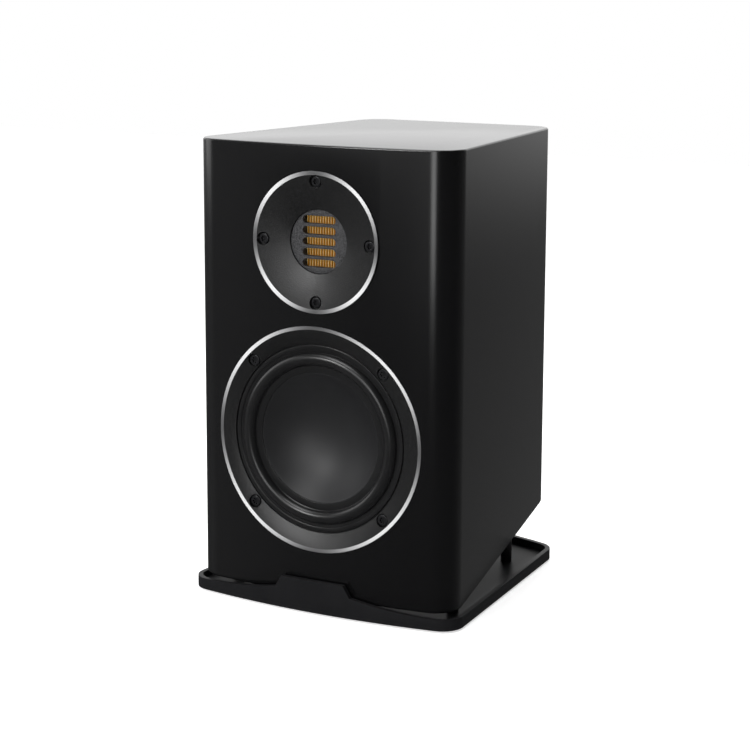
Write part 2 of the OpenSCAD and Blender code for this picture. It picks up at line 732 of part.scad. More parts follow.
module tweeter_faceplate() {
    color("#1f1f21") on_tweeter() difference() {
        rotate_extrude() polygon([
            [disc_r + fit_gap, plate_lip_y], [tweeter_r - tweeter_ring_w, plate_drop], [tweeter_r, 0],
            [tweeter_r, tweeter_plate_t], [boss_r, tweeter_plate_t], [boss_r, boss_y],
            [disc_r + fit_gap, boss_y]]);
        four_round(tweeter_pcd, 0) {
            translate([0, 0, -1]) cylinder(r = 4.5, h = tweeter_screw_floor_y + 1, $fn = 64);
            cylinder(r = 2, h = tweeter_plate_t + 1, $fn = 32);
        }
    }
}

module slots(y, t) {
    for (i = [0 : slot_count - 1])
        translate([0, (i - (slot_count - 1) / 2) * slot_pitch, y - 1]) linear_extrude(t + 2) {
            square([slot_l - slot_h, slot_h], center = true);
            for (x = [-1, 1]) translate([x * (slot_l - slot_h) / 2, 0]) circle(slot_h / 2);
        }
}

module tweeter_slot_plate() {
    color("#343437") on_tweeter() difference() {
        rotate_extrude() polygon([
            [0, disc_y], [disc_r, disc_y], [disc_r, boss_y], [disc_flange_r, boss_y],
            [disc_flange_r, disc_back_y], [0, disc_back_y]]);
        slots(disc_y, disc_back_y - disc_y);
    }
}

// Zigzag sheet whose pleats run up and down.
module ribbon_diaphragm() {
    half = ribbon_w / pleat_count / 2;
    front = [for (i = [0 : 2 * pleat_count]) [i * half - ribbon_w / 2, i % 2 == 0 ? ribbon_depth : 0]];
    back = [for (i = [2 * pleat_count : -1 : 0]) front[i] + [0, 3 * ribbon_t]];
    color("#c67a1c") placed() translate([0, ribbon_y, tweeter_z - ribbon_h / 2]) linear_extrude(ribbon_h)
        polygon(concat(front, back));
}

module ribbon_frame() {
    color("#2a2a2a") on_tweeter() translate([0, 0, disc_back_y]) difference() {
        cylinder(r = disc_flange_r, h = ribbon_frame_t);
        translate([-ribbon_w / 2, -ribbon_h / 2, -1]) cube([ribbon_w, ribbon_h, ribbon_frame_t + 2]);
    }
}

module tweeter_magnets() {
    color("#8d8f92") on_tweeter() for (side = [-1, 1])
        translate([side * 19 - 4, -17, disc_back_y + ribbon_frame_t]) cube([8, 34, tweeter_magnet_t]);
}

module tweeter_rear_plate() {
    y = disc_back_y + ribbon_frame_t + tweeter_magnet_t;
    color("#8a8a8c") on_tweeter() difference() {
        translate([0, 0, y]) cylinder(r = disc_flange_r, h = tweeter_rear_plate_t);
        slots(y, tweeter_rear_plate_t);
    }
}

module tweeter_felt() {
    y = disc_back_y + ribbon_frame_t + tweeter_magnet_t + tweeter_rear_plate_t;
    color("#55555a") on_tweeter() translate([0, 0, y]) cylinder(r = cup_r - cup_wall - 1, h = cup_end_y - cup_wall - y);
}

module tweeter_rear_cup() {
    color("#26262a") on_tweeter() difference() {
        translate([0, 0, boss_y]) cylinder(r = cup_r, h = cup_l);
        translate([0, 0, boss_y - 1]) cylinder(r = cup_r - cup_wall, h = cup_l - cup_wall + 1);
    }
}

module tweeter_terminals() {
    color("#c2a25a") placed() translate([0, cup_end_y, tweeter_z]) {
        translate([-9, 0, -4]) cube([18, 1.6, 8]);
        for (x = [-6, 6]) translate([x - 0.4, 1.6, -2]) cube([0.8, 5, 4]);
    }
}

module tweeter_screws() {
    color("#0f0f10") on_tweeter() four_round(tweeter_pcd, 0) translate([0, 0, tweeter_screw_head_y])
        screw(3.6, tweeter_screw_floor_y - tweeter_screw_head_y, 1.75, baffle_t - 4 - tweeter_screw_floor_y, $fn = 48);
}

module tweeter_seal() {
    color("#111111") on_tweeter() translate([0, 0, tweeter_plate_t]) difference() {
        cylinder(r = tweeter_r - 0.5, h = tweeter_seal_t);
        translate([0, 0, -1]) cylinder(r = tweeter_hole_r, h = tweeter_seal_t + 2);
        four_round(tweeter_pcd, 0) translate([0, 0, -1]) cylinder(r = 2, h = tweeter_seal_t + 2, $fn = 32);
    }
}

// ================= crossover =================

module board_screw_places() {
    for (p = BOARD_HOLES) facing_back(p[0], p[1]) children();
}

module crossover_board() {
    color("#2d5b3a") placed() difference() {
        translate([-board_w / 2, board_y, board_z - board_h / 2]) cube([board_w, board_t, board_h]);
        board_screw_places() cylinder(r = 1.7, h = big, $fn = 32);
    }
}

module crossover_coils() {
    color("#b5652d") placed() for (c = [[-29, 14, 20, 7, 18], [27, 14, 17, 6, 14]])
        facing_back(c[0], board_z + c[1]) translate([0, 0, board_y - c[4]]) difference() {
            cylinder(r = c[2], h = c[4]);
            translate([0, 0, -1]) cylinder(r = c[3], h = c[4] + 2);
        }
}

// Capacitors given as [x, z, radius, length, turn], each on two wire legs.
module crossover_capacitors() {
    leg_r = 0.5;
    lift = 0.4;            // between a can and the board
    color("#c8a32a") placed() for (c = [[-1, 18, 5.5, 24, 0], [0, -13, 7, 26, 90], [34, -13, 6, 22, 90]])
        translate([c[0], board_y - c[2] - lift, board_z + c[1]]) rotate([0, c[4], 0]) {
            translate([0, 0, -c[3] / 2]) cylinder(r = c[2], h = c[3]);
            for (end = [-0.3, 0.3]) translate([0, 0, end * c[3]])
                rotate([-90, 0, 0]) cylinder(r = leg_r, h = c[2] + lift, $fn = 24);
        }
}

module crossover_resistors() {
    color("#d9d6cc") placed() for (x = [-44, -31]) translate([x, board_y - 8, board_z - 27]) cube([8, 8, 18]);
}

module crossover_standoffs() {
    color("#dcdcd4") placed() board_screw_places() translate([0, 0, board_y + board_t]) difference() {
        cylinder(r = 3.5, h = standoff_l, $fn = 48);
        translate([0, 0, -1]) cylinder(r = 1.7, h = standoff_l + 2, $fn = 32);
    }
}

module crossover_screws() {
    color("#9c9c9e") placed() board_screw_places() translate([0, 0, board_y - 2])
        screw(2.8, 2, 1.5, board_t + standoff_l + 7.5, $fn = 32);
}

// ================= terminals =================

module terminal_screw_places() {
    for (x = [-1, 1], z = [-1, 1])
        facing_back(x * (terminal_w / 2 - 5), terminal_z + z * (terminal_h / 2 - 5)) children();
}

module at_post(side) {
    placed() facing_back(side * post_pitch / 2, terminal_z) children();
}

module terminal_plate() {
    color("#19191b") placed() difference() {
        union() {
            translate([0, cab_depth - terminal_t, terminal_z]) rotate([-90, 0, 0])
                rounded_plate(terminal_w, terminal_h, terminal_corner_r - fit_gap, terminal_t);
            for (side = [-1, 1]) facing_back(side * post_pitch / 2, terminal_z)
                translate([0, 0, cab_depth - eps]) cylinder(r = knob_d / 2 + 0.5, h = terminal_collar_t + eps);
        }
        for (side = [-1, 1]) facing_back(side * post_pitch / 2, terminal_z) cylinder(r = stud_r + run_gap, h = big, $fn = 64);
        terminal_screw_places() {
            cylinder(r = 1.7, h = big, $fn = 32);
            translate([0, 0, cab_depth - 1.8]) cylinder(r1 = 1.7, r2 = 3.3, h = 1.81, $fn = 48);
        }
    }
}

module terminal_plate_seal() {
    color("#111111") placed() difference() {
        translate([0, terminal_pocket_y, terminal_z]) rotate([-90, 0, 0])
            rounded_plate(terminal_w - 1, terminal_h - 1, terminal_corner_r - 0.5, terminal_seal_t);
        translate([0, terminal_pocket_y - 1, terminal_z]) rotate([-90, 0, 0])
            rounded_plate(terminal_w - 16, terminal_h - 16, 4, terminal_seal_t + 2);
        terminal_screw_places() cylinder(r = 1.7, h = big, $fn = 32);
    }
}

module terminal_plate_screws() {
    color("#2a2a2c") placed() terminal_screw_places() difference() {
        union() {
            translate([0, 0, cab_depth - 1.6]) cylinder(r1 = 1.5, r2 = 3, h = 1.6, $fn = 48);
            translate([0, 0, inner_rear_y + 2.5]) cylinder(r = 1.5, h = panel_t - 3, $fn = 48);
        }
        translate([0, 0, cab_depth - 1]) for (a = [0, 90]) rotate(a) translate([-1.6, -0.3, 0]) cube([3.2, 0.6, 2]);
    }
}

module post_stud(side) {
    at_post(side) difference() {
        translate([0, 0, stud_start_y]) cylinder(r = stud_r, h = stud_end_y - stud_start_y, $fn = 64);
        translate([0, 0, stud_end_y - socket_l]) cylinder(d = socket_d, h = socket_l + 1, $fn = 64);
    }
}

module red_post_stud() {
    color("#c9a44a") post_stud(-1);
}

module black_post_stud() {
    color("#c9a44a") post_stud(1);
}

// Hexagon nut with its solder tag behind it, inside the cabinet.
module post_nut(side) {
    at_post(side) difference() {
        union() {
            translate([0, 0, nut_y]) cylinder(r = stud_r + 2.6, h = nut_t, $fn = 6);
            translate([0, 0, nut_y - tag_t]) cylinder(r = stud_r + 1.8, h = tag_t + eps);
            translate([-2, -11, nut_y - tag_t]) cube([4, 8, tag_t]);
        }
        translate([0, 0, nut_y - 1]) cylinder(r = stud_r + run_gap, h = nut_t + 2, $fn = 64);
    }
}

module red_post_nut() {
    color("#c0c0c2") post_nut(-1);
}

module black_post_nut() {
    color("#c0c0c2") post_nut(1);
}

module clamp_washer(side) {
    at_post(side) translate([0, 0, washer_y]) difference() {
        cylinder(r = knob_d / 2 - 0.6, h = washer_t);
        translate([0, 0, -1]) cylinder(r = stud_r + run_gap, h = washer_t + 2, $fn = 64);
    }
}

module red_clamp_washer() {
    color("#c9a44a") clamp_washer(-1);
}

module black_clamp_washer() {
    color("#c9a44a") clamp_washer(1);
}

module post_knob(side) {
    flutes = 16;
    at_post(side) translate([0, 0, knob_y]) difference() {
        cylinder(d = knob_d, h = knob_l);
        translate([0, 0, -1]) cylinder(r = stud_r + run_gap, h = knob_l + 2, $fn = 64);
        for (i = [0 : flutes - 1]) rotate(360 * i / flutes) translate([knob_d / 2 + 0.4, 0, 1.4])
            cylinder(r = 1, h = knob_l, $fn = 24);
    }
}

module red_knob() {
    color("#b3201c") post_knob(-1);
}

module black_knob() {
    color("#151515") post_knob(1);
}

// ================= internal wiring =================

module terminal_leads() {
    tag_z = terminal_z + 11;
    color("#a02020") placed() for (side = [-1, 1]) let (x = side * post_pitch / 2) wire([
        [x, nut_y - tag_t - lead_r, tag_z - 6], [x, nut_y - tag_t - lead_r - 0.1, tag_z - 3],
        [x, nut_y - tag_t - 5.4, tag_z], [x, inner_rear_y - 4, tag_z + 4],
        [x, inner_rear_y - 6, tag_z + 20], [x, inner_rear_y - 6, brace_z - 20],
        [x, board_y - 10, brace_z + brace_t / 2], [x, board_y - 7, board_pad_z - 4],
        [x, board_y - 3, board_pad_z], [x, board_y, board_pad_z]], lead_r, 3);
}

module woofer_leads() {
    color("#303034") placed() for (side = [-1, 1]) let (x = side * 3 - 31, tag = side * 6) wire([
        [x, board_y, board_pad_z], [x, board_y - 5, board_pad_z - 1],
        [x, board_y - 9, board_pad_z - 6], [x, board_y - 16, brace_z + brace_t + 4],
        [x * 0.9, board_y - 30, brace_z - 6], [x * 0.7, board_y - 60, brace_z - 14],
        [x * 0.4 + tag * 0.4, yoke_y + 20, brace_z - 17], [tag, lead_tag_y + 24, woofer_z + basket_r + 9],
        [tag, lead_tag_y + 6.4, woofer_z + basket_r + 3.6], [tag, lead_tag_y + 2.6, woofer_z + basket_r + 3.4]], lead_r, 3);
}

module tweeter_leads() {
    color("#a02020") placed() for (side = [-1, 1]) let (x = side * 3 + 31, tag = side * 6) wire([
        [x, board_y, board_pad_z], [x, board_y - 5, board_pad_z + 1], [x * 0.95, board_y - 30, board_pad_z + 4],
        [x * 0.8, board_y - 60, board_pad_z + 8], [x * 0.5 + tag * 0.3, cup_end_y + 60, tweeter_z - 18],
        [tag, cup_end_y + 26, tweeter_z - 4], [tag, cup_end_y + 12, tweeter_z], [tag, cup_end_y + 6.6, tweeter_z]], lead_r, 3);
}

front_baffle();
left_side_panel();
right_side_panel();
top_panel();
bottom_panel();
rear_panel();
window_brace();
damping_wadding();
port_tube();
base_tray();
base_posts();
base_screws();
base_inserts();
rubber_feet();
woofer_frame();
woofer_surround();
woofer_cone();
voice_coil_former();
voice_coil();
spider();
woofer_top_plate();
woofer_magnet();
woofer_yoke();
woofer_terminal_strip();
tinsel_leads();
woofer_screws();
woofer_seal();
tweeter_faceplate();
tweeter_slot_plate();
ribbon_diaphragm();
ribbon_frame();
tweeter_magnets();
tweeter_rear_plate();
tweeter_felt();
tweeter_rear_cup();
tweeter_terminals();
tweeter_screws();
tweeter_seal();
crossover_board();
crossover_coils();
crossover_capacitors();
crossover_resistors();
crossover_standoffs();
crossover_screws();
terminal_plate();
terminal_plate_seal();
terminal_plate_screws();
red_post_stud();
black_post_stud();
red_post_nut();
black_post_nut();
red_clamp_washer();
black_clamp_washer();
red_knob();
black_knob();
terminal_leads();
woofer_leads();
tweeter_leads();
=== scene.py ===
import json
import math

import bpy
from mathutils import Matrix, Vector
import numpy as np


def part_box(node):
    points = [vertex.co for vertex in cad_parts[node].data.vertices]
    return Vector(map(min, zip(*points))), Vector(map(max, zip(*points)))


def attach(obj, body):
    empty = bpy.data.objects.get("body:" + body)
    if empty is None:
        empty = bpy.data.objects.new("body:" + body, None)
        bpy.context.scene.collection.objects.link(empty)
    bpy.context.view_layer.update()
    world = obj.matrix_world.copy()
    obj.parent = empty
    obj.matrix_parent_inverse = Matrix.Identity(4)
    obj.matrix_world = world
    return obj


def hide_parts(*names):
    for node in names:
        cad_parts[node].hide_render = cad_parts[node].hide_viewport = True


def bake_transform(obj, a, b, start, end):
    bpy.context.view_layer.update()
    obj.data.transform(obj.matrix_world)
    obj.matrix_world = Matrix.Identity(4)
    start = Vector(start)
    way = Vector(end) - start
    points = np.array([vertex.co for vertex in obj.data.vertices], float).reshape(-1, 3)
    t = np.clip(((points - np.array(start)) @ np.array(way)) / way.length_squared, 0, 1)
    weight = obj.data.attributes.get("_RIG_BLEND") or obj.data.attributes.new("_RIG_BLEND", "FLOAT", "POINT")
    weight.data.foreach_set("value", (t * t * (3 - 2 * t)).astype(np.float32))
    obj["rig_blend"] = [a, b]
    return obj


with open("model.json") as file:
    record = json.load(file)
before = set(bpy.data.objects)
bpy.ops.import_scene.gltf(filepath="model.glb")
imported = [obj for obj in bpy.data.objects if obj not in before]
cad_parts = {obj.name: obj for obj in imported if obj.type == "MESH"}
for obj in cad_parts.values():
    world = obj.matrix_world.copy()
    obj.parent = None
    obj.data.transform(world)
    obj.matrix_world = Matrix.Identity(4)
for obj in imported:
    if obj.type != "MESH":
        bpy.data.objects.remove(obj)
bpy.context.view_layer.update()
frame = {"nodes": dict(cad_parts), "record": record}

# Two-way bookshelf speaker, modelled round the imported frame. Small pieces are made on the bench in
# millimetres about +Z, facing_back() or upright() puts them in place, and finished() brings them to metres.

MM = 0.001
FULL_TURN = 2 * math.pi

# --- places taken from the frame, in millimetres ---
baffle_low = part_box("front_baffle")[0] / MM
side_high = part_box("right_side_panel")[1] / MM
rear_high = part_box("rear_panel")[1] / MM
tray_low, tray_high = (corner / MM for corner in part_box("base_tray"))
woofer_low, woofer_high = (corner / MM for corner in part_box("woofer_frame"))
plate_low, plate_high = (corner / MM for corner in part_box("tweeter_faceplate"))
terminal_low, terminal_high = (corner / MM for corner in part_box("terminal_plate"))
post_low, post_high = (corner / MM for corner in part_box("base_posts"))
port_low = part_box("port_tube")[0] / MM
FACE_Y = baffle_low.y
REAR_Y = rear_high.y
CAB_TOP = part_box("top_panel")[1].z / MM
SOLE_Z = baffle_low.z
WOOFER_Z = (woofer_low.z + woofer_high.z) / 2
TWEETER_Z = (plate_low.z + plate_high.z) / 2
TERMINAL_Z = (terminal_low.z + terminal_high.z) / 2
WOOFER_R = woofer_high.x
TWEETER_R = plate_high.x

# --- cabinet ---
BAFFLE_T = 24
PANEL_T = 15
SIDE_SLOPE = 0.11617
CAB_HALF = side_high.x + SIDE_SLOPE * BAFFLE_T
BAFFLE_BOW_R = 650
FRONT_EDGE_R = 18.5
REAR_EDGE_R = 19
SOLE_ANGLE = math.radians(8.2)
LACQUER_EDGE_R = 1.3
FIT_GAP = 0.25

# --- port, in the sloping underside ---
PORT_FLANGE_R = 42
PORT_FLANGE_T = 3
PORT_HOLE_R = 36
PORT_Y = port_low.y - FACE_Y + PORT_FLANGE_R * math.cos(SOLE_ANGLE)

# --- tray base ---
TRAY_SLOPE = 0.056
TRAY_HALF = 104
TRAY_BOW_R = 560
TRAY_REAR_BOW_R = 235
TRAY_FRONT_EDGE_R = 15.4
TRAY_REAR_EDGE_R = 16
TRAY_FLOOR_Z = 4
RIM_Z = 9
RIM_T = 3.5
SHOULDER_Z = 15.4
SHOULDER_HALF = 29
TAB_HALF = 24
POST_R = 4

# --- woofer ---
SEAT_R = 65
WOOFER_RIM_W = 2.5
WOOFER_FLANGE_T = 8
WOOFER_RECESS_Y = 9.5
WOOFER_SCREW_FLOOR_Y = 6.2
SCREW_WELL_R = 4.5
WOOFER_SCREW_CIRCLE_R = 69.9
SCREW_L = 15.5
CONE_DISH_R = 44.4
CONE_LIP_Y = 7.1
CONE_DEPTH = 19.6
COLLAR_IN_R = 15.0
COLLAR_OUT_R = 16.4
ROLL_MID_R = 54.5
ROLL_R = 4.5

# --- tweeter ---
TWEETER_RIM_W = 2.75
TWEETER_RECESS_Y = 7
TWEETER_HOLE_R = 33
TWEETER_SCREW_FLOOR_Y = 4.2
TWEETER_SCREW_CIRCLE_R = 40.3
DISC_R = 21.3
DISC_Y = 6.1
SLOT_COUNT = 5
SLOT_L = 25
SLOT_H = 5.3
SLOT_PITCH = 7.25

# --- binding posts ---
POST_BORE_R = 3.05
THREAD_PITCH = 0.8
THREAD_DEPTH = 0.25


# ---------------------------------------------------------------- bench work

def deselect():
    if bpy.context.object and bpy.context.object.mode != "OBJECT":
        bpy.ops.object.mode_set(mode="OBJECT")
    bpy.ops.object.select_all(action="DESELECT")


def pick(piece):
    deselect()
    piece.select_set(True)
    bpy.context.view_layer.objects.active = piece
    return piece


def edit_all(piece):
    pick(piece)
    bpy.ops.object.mode_set(mode="EDIT")
    bpy.ops.mesh.select_all(action="SELECT")


def loop_of(points, name, filled):
    """A ring of vertices laid on the given points: (x, y) lie flat, (x, y, z) anywhere."""
    deselect()
    fill = "NGON" if filled else "NOTHING"
    bpy.ops.mesh.primitive_circle_add(vertices=len(points), radius=1, fill_type=fill)
    piece = bpy.context.object
    piece.name = name
    for vertex, point in zip(piece.data.vertices, points):
        vertex.co = Vector((*point, 0)[:3])
    return piece


def closed(piece):
    """Merges doubles and turns every face outwards."""
    edit_all(piece)
    bpy.ops.mesh.remove_doubles(threshold=1e-4)
    bpy.ops.mesh.normals_make_consistent(inside=False)
    bpy.ops.object.mode_set(mode="OBJECT")
    return piece


def turned(name, profile, steps=128):
    """A lathe part: a closed (radius, depth) profile spun about +Z."""
    piece = loop_of([(r, 0, depth) for r, depth in profile], name, False)
    edit_all(piece)
    bpy.ops.mesh.spin(steps=steps, angle=FULL_TURN, center=(0, 0, 0), axis=(0, 0, 1))
    return closed(piece)


def extruded(name, outline, start, length):
    """A flat outline raised along +Z from start."""
    piece = loop_of([(x, y, start) for x, y in outline], name, True)
    edit_all(piece)
    bpy.ops.mesh.extrude_region_move(TRANSFORM_OT_translate={"value": (0, 0, length)})
    return closed(piece)


def rounded(corners, arc_steps=4):
    """Closed outline through (x, y, radius) corners, each an arc of its radius."""
    outline = []
    for i, (x, y, radius) in enumerate(corners):
        here = Vector((x, y))
        if not radius:
            outline.append((x, y))
            continue
        back = Vector(corners[i - 1][:2]) - here
        ahead = Vector(corners[(i + 1) % len(corners)][:2]) - here
        half = back.angle(ahead) / 2
        reach = min(radius / math.tan(half), 0.49 * back.length, 0.49 * ahead.length)
        centre = here + (back.normalized() + ahead.normalized()).normalized() * reach / math.cos(half)
        start = here + back.normalized() * reach - centre
        sweep = start.angle_signed(here + ahead.normalized() * reach - centre)
        for step in range(arc_steps + 1):
            spoke = Matrix.Rotation(-sweep * step / arc_steps, 2) @ start
            outline.append(tuple(centre + spoke))
    return outline


def arc(centre_x, centre_y, radius_x, radius_y, start, end, steps):
    """Points on an arc, angles in degrees."""
    angles = [math.radians(start + (end - start) * i / steps) for i in range(steps + 1)]
    return [(centre_x + radius_x * math.cos(a), centre_y + radius_y * math.sin(a)) for a in angles]


def plate_outline(width, height, radius):
    half_w, half_h = width / 2, height / 2
    return rounded([(-half_w, -half_h, radius), (half_w, -half_h, radius),
                    (half_w, half_h, radius), (-half_w, half_h, radius)], 8)


def cube_between(name, low, high):
    deselect()
    middle = (Vector(low) + Vector(high)) / 2
    bpy.ops.mesh.primitive_cube_add(size=1, location=middle, scale=Vector(high) - Vector(low))
    piece = bpy.context.object
    piece.name = name
    return settle(piece)


def settle(piece):
    """Puts a piece's place, turn and scale into its mesh."""
    pick(piece)
    bpy.ops.object.transform_apply(location=True, rotation=True, scale=True)
    return piece


def facing_back(piece, x, y, z):
    """Turns a bench part's +Z to the rear and moves its zero to a place given in millimetres."""
    piece.rotation_euler = (-math.pi / 2, 0, 0)
    piece.location = (x, y, z)
    return settle(piece)


def upright(piece, x, y, z, lean=0):
    piece.rotation_euler = (lean, 0, 0)
    piece.location = (x, y, z)
    return settle(piece)


def apply_modifier(piece, kind, **settings):
    pick(piece)
    modifier = piece.modifiers.new(kind.title(), kind)
    for key, value in settings.items():
        setattr(modifier, key, value)
    bpy.ops.object.modifier_apply(modifier=modifier.name)
    return piece


def joined(name, pieces):
    pick(pieces[0])
    for piece in pieces:
        piece.select_set(True)
    if len(pieces) > 1:
        bpy.ops.object.join()
    pieces[0].name = name
    return pieces[0]


def copies(piece, places):
    """The piece at each (x, y, z) shift from where it is; the original is the first."""
    made = []
    for place in places[1:]:
        pick(piece)
        bpy.ops.object.duplicate(linked=False)
        twin = bpy.context.object
        twin.location = place
        made.append(settle(twin))
    piece.location = places[0]
    return [settle(piece)] + made


def cut(piece, tool, operation="DIFFERENCE"):
    apply_modifier(piece, "BOOLEAN", object=tool, operation=operation, solver="EXACT")
    bpy.data.objects.remove(tool)
    return piece


def softened(piece, width, segments=2, angle=40):
    """Small round on every edge sharper than an angle in degrees."""
    return apply_modifier(piece, "BEVEL", width=width, segments=segments, limit_method="ANGLE",
                          angle_limit=math.radians(angle), miter_outer="MITER_ARC")


def smooth(piece, angle=30):
    pick(piece)
    bpy.ops.object.shade_smooth_by_angle(angle=math.radians(angle))
    return piece


def finished(piece, finish, body, slot, *nodes, angle=30):
    """Metres, smooth shading, its finish, and its place on a body of the frame."""
    piece.scale = (MM, MM, MM)
    settle(piece)
    smooth(piece, angle)
    piece.data.materials.clear()
    piece.data.materials.append(finish)
    if nodes:
        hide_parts(*nodes)
    if body:
        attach(piece, body)
    return piece


# ---------------------------------------------------------------- finishes

class Value:
    """A number that varies over a surface; Python's operators add its Math nodes."""

    def __init__(self, finish, socket):
        self.finish = finish
        self.socket = socket

    def math(self, operation, *others, first=True):
        sides = [self, *others] if first else [*others, self]
        return self.finish.node("ShaderNodeMath", {"operation": operation}, dict(enumerate(sides)))

    def __add__(self, other):
        return self.math("ADD", other)

    def __sub__(self, other):
        return self.math("SUBTRACT", other)

    def __rsub__(self, other):
        return self.math("SUBTRACT", other, first=False)

    def __mul__(self, other):
        return self.math("MULTIPLY", other)

    def __truediv__(self, other):
        return self.math("DIVIDE", other)

    def __pow__(self, other):
        return self.math("POWER", other)

    def above(self, low, high):
        """0 below low, 1 above high, with a soft step between."""
        return self.finish.node("ShaderNodeMapRange", {"interpolation_type": "SMOOTHSTEP"},
                                {"Value": self, "From Min": low, "From Max": high})

    __radd__ = __add__
    __rmul__ = __mul__


class Finish:
    """A Principled material and the nodes behind it."""

    def __init__(self, name, **constants):
        self.material = bpy.data.materials.new(name)
        self.material.use_nodes = True
        self.tree = self.material.node_tree
        self.shader = self.tree.nodes["Principled BSDF"]
        self.set(**constants)

    def set(self, **inputs):
        for key, value in inputs.items():
            self.feed(self.shader.inputs[key.replace("_", " ")], value)
        return self

    def feed(self, socket, value):
        if isinstance(value, Value):
            self.tree.links.new(value.socket, socket)
        else:
            socket.default_value = value

    def node(self, kind, settings, inputs, output=0):
        made = self.tree.nodes.new(kind)
        for key, value in settings.items():
            setattr(made, key, value)
        for key, value in inputs.items():
            self.feed(made.inputs[key], value)
        return Value(self, made.outputs[output])

    def place(self):
        return self.node("ShaderNodeTexCoord", {}, {}, "Object")

    def axes(self):
        where = self.place()
        return [self.node("ShaderNodeSeparateXYZ", {}, {0: where}, axis) for axis in "XYZ"]

    def noise(self, scale, detail=2.0, stretch=(1, 1, 1)):
        where = self.node("ShaderNodeMapping", {}, {"Vector": self.place(), "Scale": stretch})
        return self.node("ShaderNodeTexNoise", {}, {"Vector": where, "Scale": scale, "Detail": detail})

    def mix(self, mask, low, high):
        low, high = (c if isinstance(c, Value) else (*c, 1) for c in (low, high))
        return self.node("ShaderNodeMix", {"data_type": "RGBA"}, {0: mask, 6: low, 7: high}, 2)

    def bump(self, height, distance):
        """Relief whose full height is distance, in metres."""
        return self.set(Normal=self.node("ShaderNodeBump", {}, {"Height": height, "Distance": distance}))


def grained(name, dark, light, roughness, grain_scale, grain_height, metal=0.0, detail=2.0, shine=0.5):
    """A plain maker's finish: two close shades, uneven gloss and a fine grain."""
    finish = Finish(name, Metallic=metal, Specular_IOR_Level=shine)
    spread = 0.04
    cloud = finish.noise(45, 3)
    grain = finish.noise(grain_scale, detail)
    finish.set(Base_Color=finish.mix(cloud * 0.6 + grain * 0.4, dark, light),
               Roughness=roughness - spread / 2 + cloud * spread)
    finish.bump(grain, grain_height)
    return finish.material


def lacquer():
    """Satin black lacquer: sprayed, so it has a slight orange peel and faint cloudy gloss."""
    finish = Finish("satin_black_lacquer")
    peel = finish.noise(420, 2)
    cloud = finish.noise(9, 4)
    finish.set(Base_Color=finish.mix(cloud, (0.0022, 0.0022, 0.0025), (0.0034, 0.0034, 0.0037)),
               Roughness=0.21 + cloud * 0.03)
    finish.bump(peel, 0.000012)
    return finish.material


def rimmed_flange(name, centre_z, outer_r, rim_w):
    """Textured black paint and a bright metal edge, rim_w wide, whose colour carries a painted highlight: four
    bright lobes between the axes, dark steel on the axes.
    """
    finish = Finish(name)
    x, _, z = finish.axes()
    up = z - centre_z
    radius = ((x ** 2) + (up ** 2)) ** 0.5
    rim_r = outer_r - rim_w
    side_wall = radius.above(outer_r - 0.0002, outer_r - 0.0001)
    bright = radius.above(rim_r - 0.00004, rim_r + 0.00004) * (1 - side_wall)
    # painted highlight: the edge's steel colour is dark on the axes and bright in four lobes between them, in
    # place of reflections
    painted_sheen_lobes = ((x * up / radius / radius) ** 2) * 4
    grain = finish.noise(1500, 3)
    paint = finish.mix(grain.above(0.35, 0.75), (0.002, 0.002, 0.0022), (0.011, 0.011, 0.0115))
    # steel carries the painted highlight lobes
    steel = finish.mix(painted_sheen_lobes, (0.09, 0.09, 0.092), (0.74, 0.74, 0.745))
    finish.set(Base_Color=finish.mix(bright, paint, steel), Metallic=bright * 0.25,
               Roughness=(1 - bright) * (0.30 + grain * 0.14) + bright * 0.42)
    finish.bump((1 - bright) * grain, 0.00012)
    return finish.material


def rubber():
    finish = Finish("surround_rubber")
    bloom = finish.noise(70, 4)
    grain = finish.noise(1800, 2)
    finish.set(Base_Color=finish.mix(bloom, (0.004, 0.004, 0.0043), (0.008, 0.008, 0.0085)),
               Roughness=0.26 + bloom * 0.08)
    finish.bump(grain, 0.000015)
    return finish.material


def cone_finish():
    finish = Finish("satin_cone")
    cloud = finish.noise(25, 3)
    grain = finish.noise(2200, 2)
    finish.set(Base_Color=finish.mix(cloud, (0.008, 0.008, 0.009), (0.012, 0.012, 0.013)),
               Roughness=0.47 + cloud * 0.05)
    finish.bump(grain, 0.000010)
    return finish.material


def sanded_disc():
    """Light grey sand-textured paint of the slotted disc."""
    finish = Finish("sand_textured_disc", Specular_IOR_Level=0.3)
    grain = finish.noise(1700, 2)
    finish.set(Base_Color=finish.mix(grain.above(0.3, 0.75), (0.007, 0.007, 0.0075), (0.070, 0.070, 0.074)),
               Roughness=0.50 + grain * 0.12)
    finish.bump(grain, 0.00022)
    return finish.material


def ribbon_film():
    """Pleated amber film: the front fold edges are painted cream as a painted highlight, and the film is painted
    dark brown further back in the pleats as painted shade.
    """
    finish = Finish("ribbon_film")
    _, y, _ = finish.axes()
    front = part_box("ribbon_diaphragm")[0].y
    # painted highlight: the front of each fold is painted cream
    painted_fold_highlight = 1 - y.above(front + 0.0009, front + 0.0012)
    # painted shade: the film darkens to deep brown deeper into the pleats
    painted_pleat_shade = y.above(front + 0.0012, front + 0.0036)
    grain = finish.noise(900, 3, (1, 1, 0.2))
    amber = finish.mix(grain, (0.70, 0.33, 0.02), (0.90, 0.48, 0.05))
    # film carries the painted shade
    film = finish.mix(painted_pleat_shade, amber, (0.22, 0.07, 0.004))
    finish.set(Base_Color=finish.mix(painted_fold_highlight, film, (1.0, 0.80, 0.36)), Metallic=0.15,
               Roughness=0.38 + grain * 0.12)
    finish.bump(grain, 0.00005)
    return finish.material


